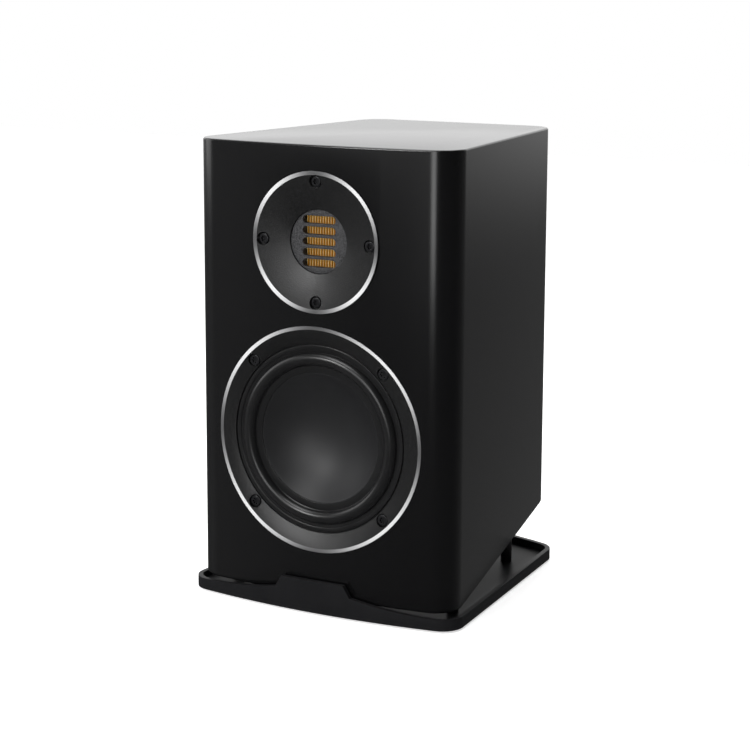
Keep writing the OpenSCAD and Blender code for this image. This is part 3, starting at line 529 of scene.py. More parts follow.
def woven(name, dark, light, pitch, height=0.00012):
    """Plain weave on object coordinates."""
    finish = Finish(name)
    x, y, z = finish.axes()
    count = FULL_TURN / pitch
    weave = (x * count).math("SINE") * ((z + y) * count).math("SINE") * 0.5 + 0.5
    fluff = finish.noise(700, 4)
    finish.set(Base_Color=finish.mix(weave * 0.6 + fluff * 0.4, dark, light), Roughness=0.85)
    finish.bump(weave * 0.7 + fluff * 0.3, height)
    return finish.material


def wound(name, pitch):
    """Enamelled copper wire laid side by side."""
    finish = Finish(name, Metallic=0.9)
    _, y, _ = finish.axes()
    # painted shade: the wire is painted dark brown in the grooves between turns and bright copper on each turn's
    # crown
    turns = (y * (FULL_TURN / pitch)).math("SINE").math("ABSOLUTE")
    finish.set(Base_Color=finish.mix(turns, (0.25, 0.07, 0.02), (0.75, 0.33, 0.14)),
               Roughness=0.38 - turns * 0.1)
    finish.bump(turns, 0.0002)
    return finish.material


def all_finishes():
    """One material for each slot of the record."""
    return {
        "black_lacquer": lacquer(),
        "brace_board": grained("raw_fibreboard", (0.20, 0.12, 0.06), (0.42, 0.29, 0.17), 0.8, 900, 0.0001),
        "wadding": grained("polyester_wadding", (0.55, 0.53, 0.50), (0.85, 0.83, 0.80), 0.95, 260, 0.0012,
                           detail=8.0),
        "black_plastic": grained("moulded_black_plastic", (0.008, 0.008, 0.009), (0.016, 0.016, 0.017),
                                 0.42, 1400, 0.00003),
        "tray_plastic": grained("satin_tray", (0.006, 0.006, 0.007), (0.012, 0.012, 0.013),
                                0.44, 900, 0.00002, shine=0.1),
        "black_screw_steel": grained("blackened_steel", (0.006, 0.006, 0.007), (0.02, 0.02, 0.022),
                                     0.28, 1200, 0.00003, metal=0.4),
        "brass": grained("brass", (0.45, 0.30, 0.10), (0.66, 0.48, 0.20), 0.3, 800, 0.00002, metal=1.0),
        "gold_plate": grained("gold_plate", (0.72, 0.50, 0.17), (0.88, 0.66, 0.28), 0.18, 700, 0.00001,
                              metal=1.0),
        "foot_rubber": grained("foot_rubber", (0.010, 0.010, 0.010), (0.024, 0.024, 0.024), 0.7, 1100,
                               0.00006),
        "textured_flange": rimmed_flange("textured_woofer_flange", WOOFER_Z * MM, WOOFER_R * MM,
                                         WOOFER_RIM_W * MM),
        "tweeter_flange": rimmed_flange("textured_tweeter_flange", TWEETER_Z * MM, TWEETER_R * MM,
                                        TWEETER_RIM_W * MM),
        "slotted_disc": sanded_disc(),
        "surround_rubber": rubber(),
        "cone_satin": cone_finish(),
        "former_film": grained("former_film", (0.45, 0.28, 0.08), (0.68, 0.48, 0.20), 0.35, 500, 0.00002),
        "copper_winding": wound("copper_winding", 0.0006),
        "spider_cloth": woven("spider_cloth", (0.35, 0.18, 0.05), (0.62, 0.40, 0.16), 0.0008),
        "plated_steel": grained("plated_steel", (0.42, 0.42, 0.43), (0.62, 0.62, 0.63), 0.32, 600, 0.00002,
                                metal=1.0),
        "ferrite": grained("ferrite", (0.03, 0.03, 0.032), (0.08, 0.08, 0.085), 0.6, 500, 0.0001),
        "bright_magnet": grained("nickel_plated_magnet", (0.5, 0.5, 0.51), (0.68, 0.68, 0.69), 0.22, 500,
                                 0.00001, metal=1.0),
        "terminal_card": grained("phenolic_card", (0.20, 0.11, 0.05), (0.34, 0.20, 0.10), 0.5, 700, 0.00005),
        "braided_lead": woven("braided_lead", (0.40, 0.24, 0.12), (0.75, 0.52, 0.30), 0.0006),
        "ribbon_film": ribbon_film(),
        "grey_felt": grained("grey_felt", (0.07, 0.07, 0.08), (0.17, 0.17, 0.18), 0.95, 1500, 0.0006,
                             detail=8.0),
        "board_green": grained("circuit_board", (0.02, 0.10, 0.04), (0.05, 0.19, 0.08), 0.35, 400, 0.00002),
        "capacitor_film": grained("capacitor_film", (0.50, 0.34, 0.04), (0.66, 0.48, 0.09), 0.3, 300,
                                  0.00002),
        "resistor_ceramic": grained("resistor_ceramic", (0.64, 0.62, 0.57), (0.82, 0.80, 0.75), 0.75, 900,
                                    0.0001),
        "nylon": grained("nylon", (0.70, 0.70, 0.66), (0.84, 0.84, 0.80), 0.45, 500, 0.00002),
        "knob_red": grained("red_knob_plastic", (0.36, 0.012, 0.008), (0.50, 0.025, 0.018), 0.25, 500,
                            0.00002),
        "knob_black": grained("black_knob_plastic", (0.007, 0.007, 0.008), (0.015, 0.015, 0.016), 0.25, 500,
                              0.00002),
        "lead_insulation": grained("lead_insulation", (0.13, 0.015, 0.015), (0.24, 0.035, 0.03), 0.4, 300,
                                   0.00004),
    }


# ---------------------------------------------------------------- cabinet

def edge_centre(run, slope, bow_y, reach, way):
    """How far back an edge radius sits between a sloping side and a bowed end."""
    b = run * slope + bow_y
    a = 1 + slope * slope
    return (b + way * math.sqrt(b * b - a * (run * run + bow_y * bow_y - reach * reach))) / a


def plan(half, slope, front, front_bow, front_edge, rear, rear_bow, rear_edge, bow_steps=18, edge_steps=16):
    """Outline seen from above: bowed in front, sides closing to the rear. A rear bow of 0 is straight."""
    slant = math.sqrt(1 + slope * slope)
    side = math.degrees(math.atan(slope))
    front_run = half - front_edge * slant
    front_y = edge_centre(front_run, slope, front + front_bow, front_bow - front_edge, -1)
    front_x = front_run - slope * front_y
    front_angle = math.degrees(math.atan2(front_y - front - front_bow, front_x))
    rear_run = half - rear_edge * slant
    rear_y, rear_angle = rear - rear_edge, 90
    if rear_bow:
        rear_y = edge_centre(rear_run, slope, rear - rear_bow, rear_bow - rear_edge, 1)
        rear_angle = math.degrees(math.atan2(rear_y - rear + rear_bow, rear_run - slope * rear_y))
    rear_x = rear_run - slope * rear_y
    points = arc(0, front + front_bow, front_bow, front_bow, -90, front_angle, bow_steps)[:-1]
    points += arc(front_x, front_y, front_edge, front_edge, front_angle, side, edge_steps)
    points += arc(rear_x, rear_y, rear_edge, rear_edge, side, rear_angle, edge_steps)
    if rear_bow:
        points += arc(0, rear - rear_bow, rear_bow, rear_bow, rear_angle, 90, bow_steps)[1:]
    mirrored = [(-x, y) for x, y in reversed(points) if x > 0.01]
    return [(x, y + FACE_Y) for x, y in points + mirrored]


def sole_at(y):
    """Height of the rising underside at a depth behind the baffle's foremost point."""
    return SOLE_Z + math.tan(SOLE_ANGLE) * (y - BAFFLE_T)


def driver_well(rim_r, rim_depth, hole_r, z):
    """Tool for a driver's recess and through hole in the baffle."""
    deep = BAFFLE_T + 2
    tool = turned("driver_well", [(0, -5), (rim_r, -5), (rim_r, rim_depth), (hole_r, rim_depth),
                                  (hole_r, deep), (0, deep)])
    return facing_back(tool, 0, FACE_Y, z)


def cavity():
    """Tool for the air space inside the walls."""
    front, rear = BAFFLE_T, REAR_Y - FACE_Y - PANEL_T
    tool = cube_between("cavity", (-1, 0, 0), (1, 1, 1))
    wall = PANEL_T * math.sqrt(1 + SIDE_SLOPE ** 2)
    for vertex in tool.data.vertices:
        y = rear if vertex.co.y > 0.5 else front
        half = CAB_HALF - wall - SIDE_SLOPE * y
        floor = sole_at(y) + PANEL_T / math.cos(SOLE_ANGLE)
        z = CAB_TOP - PANEL_T if vertex.co.z > 0.5 else floor
        vertex.co = (math.copysign(half, vertex.co.x), y + FACE_Y, z)
    return tool


def cabinet(finish):
    """The lacquered shell: bowed front, round vertical edges, rising underside and thick walls."""
    outline = plan(CAB_HALF, SIDE_SLOPE, 0, BAFFLE_BOW_R, FRONT_EDGE_R, REAR_Y - FACE_Y, 0, REAR_EDGE_R, 72)
    shell = extruded("cabinet", outline, SOLE_Z, CAB_TOP - SOLE_Z)
    edit_all(shell)
    bpy.ops.mesh.bisect(plane_co=(0, FACE_Y + BAFFLE_T, SOLE_Z), use_fill=True, clear_inner=True,
                        plane_no=(0, -math.sin(SOLE_ANGLE), math.cos(SOLE_ANGLE)))
    closed(shell)
    softened(shell, LACQUER_EDGE_R, 4, 35)
    cut(shell, cavity())
    cut(shell, driver_well(WOOFER_R + FIT_GAP, WOOFER_RECESS_Y, SEAT_R + 1.5, WOOFER_Z))
    cut(shell, driver_well(TWEETER_R + FIT_GAP, TWEETER_RECESS_Y, TWEETER_HOLE_R, TWEETER_Z))
    recess = extruded("terminal_recess", plate_outline(72.5, 52.5, 6), 0, 40)
    cut(shell, facing_back(recess, 0, REAR_Y - 4, TERMINAL_Z))
    window = extruded("terminal_window", plate_outline(56, 36, 4), 0, 40)
    cut(shell, facing_back(window, 0, REAR_Y - PANEL_T - 5, TERMINAL_Z))
    seat_r = PORT_FLANGE_R + FIT_GAP
    port = turned("port_hole", [(0, -5), (seat_r, -5), (seat_r, PORT_FLANGE_T), (PORT_HOLE_R, PORT_FLANGE_T),
                                (PORT_HOLE_R, 25), (0, 25)])
    cut(shell, upright(port, 0, FACE_Y + PORT_Y, sole_at(PORT_Y), SOLE_ANGLE))
    insert_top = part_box("base_inserts")[1].z / MM
    for x, y in insert_places():
        bore = turned("insert_bore", [(0, 0), (3.5, 0), (3.5, insert_top), (0, insert_top)], 32)
        cut(shell, upright(bore, x, y, 0))
    return finished(shell, finish, "cabinet", "black_lacquer", "front_baffle", "left_side_panel",
                    "right_side_panel", "top_panel", "bottom_panel", "rear_panel")


# ---------------------------------------------------------------- tray base

def insert_places():
    """The four posts' places, from the frame's posts: wide at the front, narrow at the rear."""
    front_x = post_high.x - POST_R
    front_y = post_low.y + POST_R
    rear_y = post_high.y - POST_R
    rear_x = front_x - SIDE_SLOPE * (rear_y - front_y)
    return [(side * x, y) for x, y in ((front_x, front_y), (rear_x, rear_y)) for side in (-1, 1)]


def tray_outline(inset):
    return plan(TRAY_HALF - inset * math.sqrt(1 + TRAY_SLOPE ** 2), TRAY_SLOPE, inset + tray_low.y - FACE_Y,
                TRAY_BOW_R - inset, TRAY_FRONT_EDGE_R - inset, tray_high.y - FACE_Y - inset,
                TRAY_REAR_BOW_R - inset, TRAY_REAR_EDGE_R - inset)


def base_tray(finish):
    """Moulded tray: a low rim that sweeps up in front to a square tab."""
    tray = extruded("base_tray", tray_outline(0), tray_low.z, tray_high.z - tray_low.z)
    sweep_end = TRAY_HALF - 9
    rise = SHOULDER_Z - RIM_Z
    sweep_r = ((sweep_end - SHOULDER_HALF) ** 2 + rise ** 2) / (2 * rise)
    xs = [sweep_end - (sweep_end - SHOULDER_HALF) * i / 14 for i in range(15)]
    sweep = [(x, RIM_Z + sweep_r - math.sqrt(sweep_r ** 2 - (sweep_end - x) ** 2)) for x in xs]
    half = [(150, RIM_Z)] + sweep + [(TAB_HALF, tray_high.z)]
    over = [(150, 60)] + half + [(-x, z) for x, z in reversed(half)] + [(-150, 60)]
    front = extruded("over_the_front", [(x, -z) for x, z in over], -40, 54)
    cut(tray, facing_back(front, 0, FACE_Y, 0))
    cut(tray, cube_between("over_the_rim", (-150, FACE_Y + 13.99, RIM_Z), (150, 150, 60)))
    cut(tray, extruded("inside", tray_outline(RIM_T), TRAY_FLOOR_Z, 60))
    softened(tray, 1.5, 5, 40)
    return finished(tray, finish, "cabinet", "tray_plastic", "base_tray")


def base_posts(finish):
    posts = []
    for x, y in insert_places():
        top = sole_at(y - FACE_Y)
        post = turned("post", rounded([(0, TRAY_FLOOR_Z, 0), (POST_R, TRAY_FLOOR_Z, 0), (POST_R, top, 0),
                                       (0, top, 0)]), 48)
        for vertex in post.data.vertices:
            if vertex.co.z > TRAY_FLOOR_Z + 1:
                vertex.co.z += math.tan(SOLE_ANGLE) * vertex.co.y
        posts.append(upright(post, x, y, 0))
    return finished(joined("base_posts", posts), finish, "cabinet", "black_plastic", "base_posts")


def rubber_feet(finish):
    low, high = (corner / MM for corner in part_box("rubber_feet"))
    foot_r = 8
    foot = turned("foot", rounded([(0, 0, 0), (foot_r - 3, 0, 0.4), (foot_r - 2.6, 0.5, 0.3),
                                   (foot_r - 1.2, 0.5, 0.3), (foot_r - 0.9, 0, 0.3), (foot_r, 0, 0.5),
                                   (foot_r, high.z, 0.2), (0, high.z, 0)], 3), 64)
    front_x, rear_x = high.x - foot_r, high.x - foot_r - TRAY_SLOPE * (high.y - low.y - 2 * foot_r)
    places = [(side * x, y, 0) for x, y in ((front_x, low.y + foot_r), (rear_x, high.y - foot_r))
              for side in (-1, 1)]
    return finished(joined("rubber_feet", copies(foot, places)), finish, "cabinet", "foot_rubber",
                    "rubber_feet")


# ---------------------------------------------------------------- woofer

def on_woofer(piece):
    return facing_back(piece, 0, FACE_Y, WOOFER_Z)


def on_tweeter(piece):
    return facing_back(piece, 0, FACE_Y, TWEETER_Z)


def round_the_axis(radius, first_angle):
    angles = [math.radians(first_angle + 90 * i) for i in range(4)]
    return [(radius * math.cos(a), radius * math.sin(a), 0) for a in angles]


def screw_wells(piece, circle_r, first_angle, floor):
    """Counterbores round the flange, each with a narrower hole through its floor."""
    well = turned("well", [(0, -3), (SCREW_WELL_R, -3), (SCREW_WELL_R, floor), (2.3, floor),
                           (2.3, floor + 8), (0, floor + 8)], 48)
    return cut(piece, joined("wells", copies(well, round_the_axis(circle_r, first_angle))))


def bowed_back(place):
    """How far a point of the flange lies deeper than a flat one would, to follow the baffle's bow."""
    bow = BAFFLE_BOW_R - math.sqrt(BAFFLE_BOW_R ** 2 - place.x ** 2)
    share = (math.hypot(place.x, place.y) - SEAT_R) / (WOOFER_R - WOOFER_RIM_W - SEAT_R)
    return bow * min(max(share, 0), 1) * max(1 - place.z / WOOFER_FLANGE_T, 0)


def woofer_frame(finish):
    """Cast frame: bright rim, dished textured flange, seat for the surround, and a windowed basket."""
    seat_y = WOOFER_SCREW_FLOOR_Y
    profile = rounded([
        (WOOFER_R, 0, 0.3), (WOOFER_R, WOOFER_FLANGE_T, 0.4), (SEAT_R + 0.5, WOOFER_FLANGE_T, 0),
        (SEAT_R - 1.5, 12.5, 0),
        (48.5, 35, 2), (48.5, 44, 0.6), (18.5, 44, 0.3), (18.5, 41, 0.3), (41, 41, 0), (41, 34, 0),
        (45.8, 34, 0), (45.8, 32.4, 0.3), (60.5, 12.5, 0), (58.5, 9.5, 0), (58.5, seat_y, 0.3),
        (SEAT_R, seat_y, 0), (SEAT_R, 4.9, 0.25), (WOOFER_R - WOOFER_RIM_W, 0.75, 0)], 3)
    piece = turned("woofer_frame", profile, 160)
    for vertex in piece.data.vertices:
        vertex.co.z += bowed_back(vertex.co)
    tools = []
    for i in range(6):
        window = cube_between("window", (38, -16, 16), (70, 16, 29))
        window.rotation_euler = (0, 0, math.radians(30 + 60 * i))
        tools.append(settle(window))
    cut(piece, joined("windows", tools))
    screw_wells(piece, WOOFER_SCREW_CIRCLE_R, 45, WOOFER_SCREW_FLOOR_Y)
    return finished(on_woofer(piece), finish, "cabinet", "textured_flange", "woofer_frame")


def woofer_surround(finish):
    """Half-roll rubber surround; its inner lip moves with the cone and its outer land stays."""
    land_r, lip_in, lip_out = SEAT_R - 6, CONE_DISH_R + 0.4, SEAT_R - 1.1
    front = arc(ROLL_MID_R, CONE_LIP_Y - 0.7, ROLL_R, -ROLL_R, 6, 174, 28)
    back = arc(ROLL_MID_R, CONE_LIP_Y, ROLL_R - 0.7, -(ROLL_R - 0.4), 180, 0, 24)
    profile = rounded([(lip_out, 6.2, 0.15), (lip_out, 5, 0.3), (land_r + 0.35, 5, 0.35)], 3) + front
    profile += rounded([(49.6, 6.4, 0), (lip_in, 6.4, 0.25), (lip_in, 7.1, 0)], 2) + back + [(58.3, 6.2)]
    piece = finished(on_woofer(turned("woofer_surround", profile, 160)), finish, None, "surround_rubber",
                     "woofer_surround")
    low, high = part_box("woofer_surround")
    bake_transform(piece, "cabinet", "woofer_moving", start=(high.x, low.y, high.z), end=(0, low.y, WOOFER_Z * MM))
    centre = Vector((0, 0, WOOFER_Z * MM))
    outer, inner = land_r * MM, (ROLL_MID_R - ROLL_R) * MM
    weights = piece.data.attributes["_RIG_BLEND"]
    for vertex, weight in zip(piece.data.vertices, weights.data):
        radius = math.hypot(vertex.co.x, vertex.co.z - centre.z)
        share = min(max((outer - radius) / (outer - inner), 0), 1)
        weight.value = share * share * (3 - 2 * share)
    return piece


def dish_depth_at(radius):
    sphere_r = (CONE_DISH_R ** 2 + CONE_DEPTH ** 2) / (2 * CONE_DEPTH)
    return CONE_LIP_Y + CONE_DEPTH - sphere_r + math.sqrt(sphere_r ** 2 - radius ** 2)


def woofer_cone(finish):
    """One-piece dish with a flat lip and the collar that takes the coil former."""
    steps = 24
    radii = [CONE_DISH_R * (1 - i / steps) for i in range(steps + 1)]
    front = [(r, dish_depth_at(r)) for r in radii[1:]]
    back = [(r, dish_depth_at(r) + 1) for r in reversed(radii[1:]) if not COLLAR_IN_R < r < COLLAR_OUT_R]
    profile = [(50, 8.1), (50, 7.1)] + rounded([(46, 7.1, 0), (CONE_DISH_R, 7.1, 0.3),
                                                (radii[1], dish_depth_at(radii[1]), 0)], 4)
    inner = [p for p in back if p[0] < COLLAR_IN_R]
    outer = [p for p in back if p[0] > COLLAR_OUT_R]
    end = dish_depth_at(0) + 2.3
    profile += front[1:] + inner + [(COLLAR_IN_R, end), (COLLAR_OUT_R, end)] + outer
    piece = turned("woofer_cone", profile, 160)
    return finished(on_woofer(piece), finish, "woofer_moving", "cone_satin", "woofer_cone")


def star_screws(name, circle_r, first_angle, head_r, head_y, well_y, shank_r):
    """Four pan-head screws with a six-lobed key hole."""
    tip_y = well_y + SCREW_L
    head = turned(name, rounded([(0, head_y, 0), (head_r, head_y + 0.15, 0.7), (head_r, well_y, 0.15),
                                 (shank_r, well_y, 0), (shank_r, tip_y, 0.5), (0, tip_y, 0)], 5), 64)
    key_r, lobe_depth = head_r * 0.5, 0.16
    angles = [FULL_TURN * i / 60 for i in range(60)]
    lobes = [(key_r * (1 + lobe_depth * math.cos(6 * a)), a) for a in angles]
    key = extruded("key_hole", [(r * math.cos(a), r * math.sin(a)) for r, a in lobes], head_y - 1, 2.6)
    cut(head, key)
    softened(head, 0.12, 2, 50)
    return joined(name, copies(head, round_the_axis(circle_r, first_angle)))


# ---------------------------------------------------------------- tweeter

def tweeter_faceplate(finish):
    profile = rounded([
        (TWEETER_R, 0, 0.25), (TWEETER_R, 6, 0.3), (31.5, 6, 0), (31.5, 8, 0.2), (DISC_R + FIT_GAP, 8, 0),
        (DISC_R + FIT_GAP, 5.1, 0.2), (TWEETER_R - TWEETER_RIM_W, 0.35, 0)], 3)
    piece = turned("tweeter_faceplate", profile, 160)
    screw_wells(piece, TWEETER_SCREW_CIRCLE_R, 0, TWEETER_SCREW_FLOOR_Y)
    return finished(on_tweeter(piece), finish, "cabinet", "textured_flange", "tweeter_faceplate")


def slot_tools(start, end):
    row = [(i - (SLOT_COUNT - 1) / 2) * SLOT_PITCH for i in range(SLOT_COUNT)]
    slot = extruded("slot", plate_outline(SLOT_L, SLOT_H, SLOT_H / 2 - 0.001), start, end - start)
    return joined("slots", copies(slot, [(0, y, 0) for y in row]))


def tweeter_slot_plate(finish):
    disc = turned("tweeter_slot_plate", [(0, DISC_Y), (DISC_R, DISC_Y), (DISC_R, 8), (30, 8), (30, 10),
                                         (0, 10)], 160)
    cut(disc, slot_tools(DISC_Y - 2, 12))
    softened(disc, 0.25, 3, 50)
    return finished(on_tweeter(disc), finish, "cabinet", "slotted_disc", "tweeter_slot_plate")


def ribbon_diaphragm(finish):
    """Pleated film standing in its frame, with round folds."""
    low, high = (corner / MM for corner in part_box("ribbon_diaphragm"))
    pleats, film = 13, 0.2
    half = (high.x - low.x) / pleats / 2
    folds = []
    for i in range(2 * pleats + 1):
        x = low.x + i * half
        folds.append((x, high.y - film if i % 2 == 0 else low.y, 0.28))
    sheet = zigzag(folds)
    back = [(x, y + 0.45) for x, y in reversed(sheet)]
    piece = extruded("ribbon_diaphragm", sheet + back, low.z, high.z - low.z)
    return finished(piece, finish, "cabinet", "ribbon_film", "ribbon_diaphragm", angle=60)


def zigzag(folds):
    """Open line through the folds, each inner one an arc of its radius."""
    looped = rounded(folds, 5)
    arc_points = 6
    inner = looped[arc_points:-arc_points]
    return [folds[0][:2]] + inner + [folds[-1][:2]]


# ---------------------------------------------------------------- rear

def port_tube(finish):
    bore, mouth, wall, length, flare = 24, 33, 2.5, 105, 12
    curve = arc(mouth, flare, -(mouth - bore), -flare, 90, 0, 14)
    profile = rounded([(bore, length, 0.8), (bore + wall, length, 0.8), (bore + wall, flare + 4, 3),
                       (mouth + wall, 6, 2), (mouth + wall, PORT_FLANGE_T, 0),
                       (PORT_FLANGE_R, PORT_FLANGE_T, 0), (PORT_FLANGE_R, 0, 0.6)], 3) + curve
    piece = turned("port_tube", profile, 96)
    upright(piece, 0, FACE_Y + PORT_Y, sole_at(PORT_Y), SOLE_ANGLE)
    return finished(piece, finish, "cabinet", "black_plastic", "port_tube")


def terminal_plate(finish, post_x):
    """Rear plate with two collars for the posts and four countersunk screw holes."""
    low, high = terminal_low, terminal_high
    thick, collar_r, collar_t = 3, 7.5, 1.8
    plate = extruded("terminal_plate", plate_outline(high.x - low.x, high.z - low.z, 5.75), 0, thick)
    softened(plate, 0.5, 3, 60)
    facing_back(plate, 0, REAR_Y - thick, TERMINAL_Z)
    collars = []
    for side in (-1, 1):
        collar = turned("collar", rounded([(POST_BORE_R, -1, 0), (collar_r, -1, 0),
                                           (collar_r, collar_t, 0.5), (POST_BORE_R, collar_t, 0)], 3), 64)
        collars.append(facing_back(collar, side * post_x, REAR_Y, TERMINAL_Z))
    cut(plate, joined("collars", collars), "UNION")
    bores = []
    for side in (-1, 1):
        bore = turned("bore", [(0, -9), (POST_BORE_R, -9), (POST_BORE_R, 9), (0, 9)], 64)
        bores.append(facing_back(bore, side * post_x, REAR_Y, TERMINAL_Z))
    for x in (-1, 1):
        for z in (-1, 1):
            sink = turned("sink", [(0, -5), (1.7, -5), (1.7, -1.8), (3.4, 0.05), (3.4, 3), (0, 3)], 32)
            bores.append(facing_back(sink, x * (high.x - 5 + FIT_GAP), REAR_Y,
                                     TERMINAL_Z + z * ((high.z - low.z) / 2 - 5)))
    cut(plate, joined("bores", bores))
    return finished(plate, finish, "cabinet", "black_plastic", "terminal_plate")


def knob(name, finish, slot, body):
    """Fluted cap that unscrews along the stud, with a shallow dished end."""
    low, high = (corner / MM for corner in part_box(name))
    radius, length, bore = (high.x - low.x) / 2, high.y - low.y, POST_BORE_R
    piece = turned(name, rounded([(bore, 0, 0), (radius, 0, 0.4), (radius, length, 0.9),
                                  (bore + 1.6, length, 0.3), (bore + 1.2, length - 0.6, 0.2),
                                  (bore, length - 0.6, 0)], 4), 96)
    flute = turned("flute", [(0, 1.6), (1.0, 1.6), (1.0, 30), (0, 30)], 20)
    count, flute_r = 16, radius + 0.35
    angles = [FULL_TURN * i / count for i in range(count)]
    places = [(flute_r * math.cos(a), flute_r * math.sin(a), 0) for a in angles]
    cut(piece, joined("flutes", copies(flute, places)))
    facing_back(piece, (low.x + high.x) / 2, low.y, (low.z + high.z) / 2)
    return finished(piece, finish, body, slot, name)


def stud(name, finish):
    """Plated post: ten thread grooves near its foot, then plain, with a blind bore in its end."""
    low, high = (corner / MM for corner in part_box(name))
    radius, length, bore, depth = (high.x - low.x) / 2, high.y - low.y, 2, 14
    turns, first_y = 10, 1.0
    thread = []
    for i in range(turns):
        crest_y = first_y + i * THREAD_PITCH
        thread += [(radius, crest_y), (radius - THREAD_DEPTH, crest_y + THREAD_PITCH / 2)]
    profile = [(0, 0), (radius - 0.3, 0), (radius, 0.3)] + thread[1:]
    profile += rounded([(radius, 10, 0), (radius, length, 0.35), (bore, length, 0.35),
                        (bore, length - depth, 0), (0, length - depth, 0)], 3)
    piece = turned(name, profile, 64)
    facing_back(piece, (low.x + high.x) / 2, low.y, (low.z + high.z) / 2)
    return finished(piece, finish, "cabinet", "gold_plate", name)


def washer(name, finish, body):
    low, high = (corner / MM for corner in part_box(name))
    radius, thick = (high.x - low.x) / 2, high.y - low.y
    piece = turned(name, rounded([(POST_BORE_R, 0, 0.15), (radius, 0, 0.25), (radius, thick, 0.25),
                                  (POST_BORE_R, thick, 0.15)], 3), 96)
    facing_back(piece, (low.x + high.x) / 2, low.y, (low.z + high.z) / 2)
    return finished(piece, finish, body, "gold_plate", name)


# ---------------------------------------------------------------- studio

def studio_camera():
    yaw, pitch, roll = (math.radians(a) for a in (28.278, 9.746, 0.235))
    ahead = Vector((-math.sin(yaw) * math.cos(pitch), math.cos(yaw) * math.cos(pitch), -math.sin(pitch)))
    level = Vector((math.cos(yaw), math.sin(yaw), 0))
    above = level.cross(ahead)
    right = level * math.cos(roll) + above * math.sin(roll)
    up = above * math.cos(roll) - level * math.sin(roll)
    lens = bpy.data.cameras.new("studio_camera")
    lens.lens = 92.4
    lens.sensor_width = 36
    lens.shift_y = -0.1
    camera = bpy.data.objects.new("studio_camera", lens)
    camera.matrix_world = Matrix((right, up, -ahead)).transposed().to_4x4()
    camera.location = (0.6292, -1.1996, 0.4309)
    bpy.context.scene.collection.objects.link(camera)
    bpy.context.scene.camera = camera


def softbox(name, place, aim, width, height, power):
    light = bpy.data.lights.new(name, "AREA")
    light.shape = "RECTANGLE"
    light.size, light.size_y = width, height
    light.energy = power
    lamp = bpy.data.objects.new(name, light)
    lamp.location = place
    lamp.rotation_euler = (Vector(aim) - Vector(place)).to_track_quat("-Z", "Y").to_euler()
    bpy.context.scene.collection.objects.link(lamp)


class Surroundings(Finish):
    """The world: plain white behind the object, and dimmer walls for what its gloss reflects."""

    def __init__(self):
        world = bpy.data.worlds.new("studio_walls")
        bpy.context.scene.world = world
        world.use_nodes = True
        self.tree = world.node_tree
        self.shader = self.tree.nodes["Background"]


def studio_walls():
    walls = Surroundings()
    where = walls.node("ShaderNodeTexCoord", {}, {}, "Generated")
    x, y, z = (walls.node("ShaderNodeSeparateXYZ", {}, {0: where}, axis) for axis in "XYZ")
    behind = y.above(-0.2, 0.7) * z.above(-0.12, 0.12) * (1 - x.above(0.1, 0.5))
    left = (0 - x).above(0.2, 0.9) * (1 - y.above(-0.4, 0.4))
    glow = 0.05 + behind * 1.4 + left * 0.15 + y.above(0.1, 0.9) * 0.07
    seen = walls.node("ShaderNodeLightPath", {}, {}, "Is Camera Ray")
    walls.set(Strength=seen + (1 - seen) * glow, Color=(1, 1, 1, 1))


def pale_floor():
    deselect()
    bpy.ops.mesh.primitive_plane_add(size=6, location=(0, 0, -0.0002))
    floor = bpy.context.object
    floor.name = "studio_floor"
    finish = Finish("pale_floor", Emission_Color=(1, 1, 1, 1), Emission_Strength=0.62, Roughness=1.0,
                    Specular_IOR_Level=0)
    finish.set(Base_Color=finish.mix(finish.noise(3), (0.90, 0.90, 0.90), (0.93, 0.93, 0.93)))
    floor.data.materials.append(finish.material)
    floor.visible_glossy = False


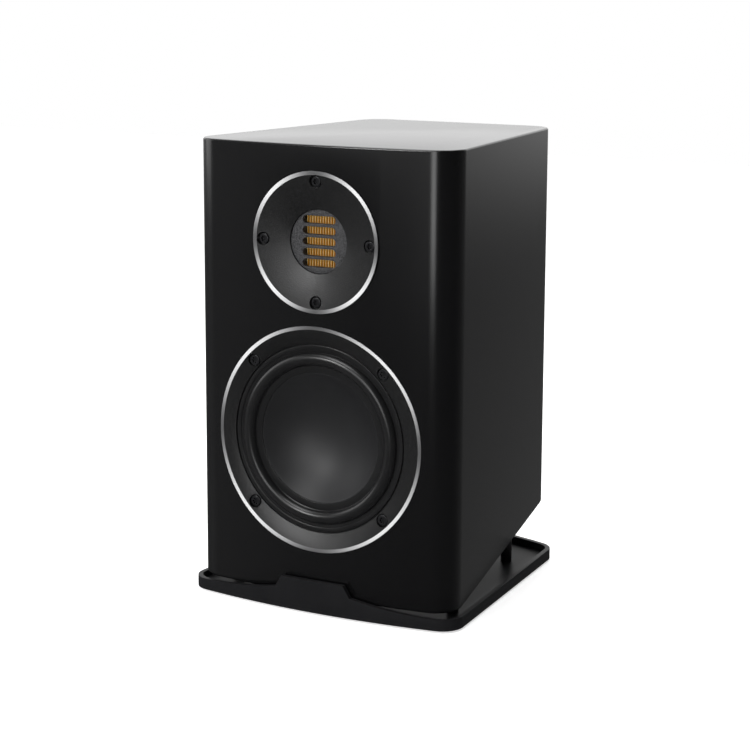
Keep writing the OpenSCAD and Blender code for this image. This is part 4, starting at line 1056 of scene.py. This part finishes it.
def studio():
    studio_camera()
    studio_walls()
    pale_floor()
    softbox("overhead", (-0.3, 0.2, 1.6), (0, 0, 0.2), 1.6, 1.2, 12)
    softbox("front_left", (-0.72, -1.9, 1.1), (0, 0, 0.15), 0.45, 0.45, 15)
    softbox("front_top", (-0.2, -0.95, 1.75), (0, 0, 0.15), 0.9, 0.6, 10)
    softbox("left_fill", (-1.7, -0.5, 0.8), (0, 0, 0.15), 1.1, 1.1, 7)
    softbox("front_strip", (0.25, -2.3, 0.7), (0, 0, 0.15), 0.7, 1.3, 12)
    bpy.context.scene.view_settings.view_transform = "Standard"


# ---------------------------------------------------------------- the speaker

def speaker():
    looks = all_finishes()
    for part in frame["record"]["subparts"]:
        node = frame["nodes"][part["node"]]
        node.data.materials.clear()
        node.data.materials.append(looks[part["material_slot"]])
    cabinet(looks["black_lacquer"])
    base_tray(looks["tray_plastic"])
    base_posts(looks["black_plastic"])
    rubber_feet(looks["foot_rubber"])
    woofer_frame(looks["textured_flange"])
    woofer_surround(looks["surround_rubber"])
    woofer_cone(looks["cone_satin"])
    woofer_screws = star_screws("woofer_screws", WOOFER_SCREW_CIRCLE_R, 45, 3.8, 4.1,
                                WOOFER_SCREW_FLOOR_Y, 2)
    finished(on_woofer(woofer_screws), looks["black_screw_steel"], "cabinet", "black_screw_steel",
             "woofer_screws")
    tweeter_faceplate(looks["tweeter_flange"])
    tweeter_slot_plate(looks["slotted_disc"])
    ribbon_diaphragm(looks["ribbon_film"])
    tweeter_screws = star_screws("tweeter_screws", TWEETER_SCREW_CIRCLE_R, 0, 3.6, 1.8,
                                 TWEETER_SCREW_FLOOR_Y, 1.75)
    finished(on_tweeter(tweeter_screws), looks["black_screw_steel"], "cabinet", "black_screw_steel",
             "tweeter_screws")
    port_tube(looks["black_plastic"])
    stud_low, stud_high = (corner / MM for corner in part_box("black_post_stud"))
    terminal_plate(looks["black_plastic"], (stud_low.x + stud_high.x) / 2)
    for colour in ("red", "black"):
        stud(f"{colour}_post_stud", looks["gold_plate"])
        washer(f"{colour}_clamp_washer", looks["gold_plate"], f"{colour}_washer")
        knob(f"{colour}_knob", looks[f"knob_{colour}"], f"knob_{colour}", f"{colour}_knob")


speaker()
studio()
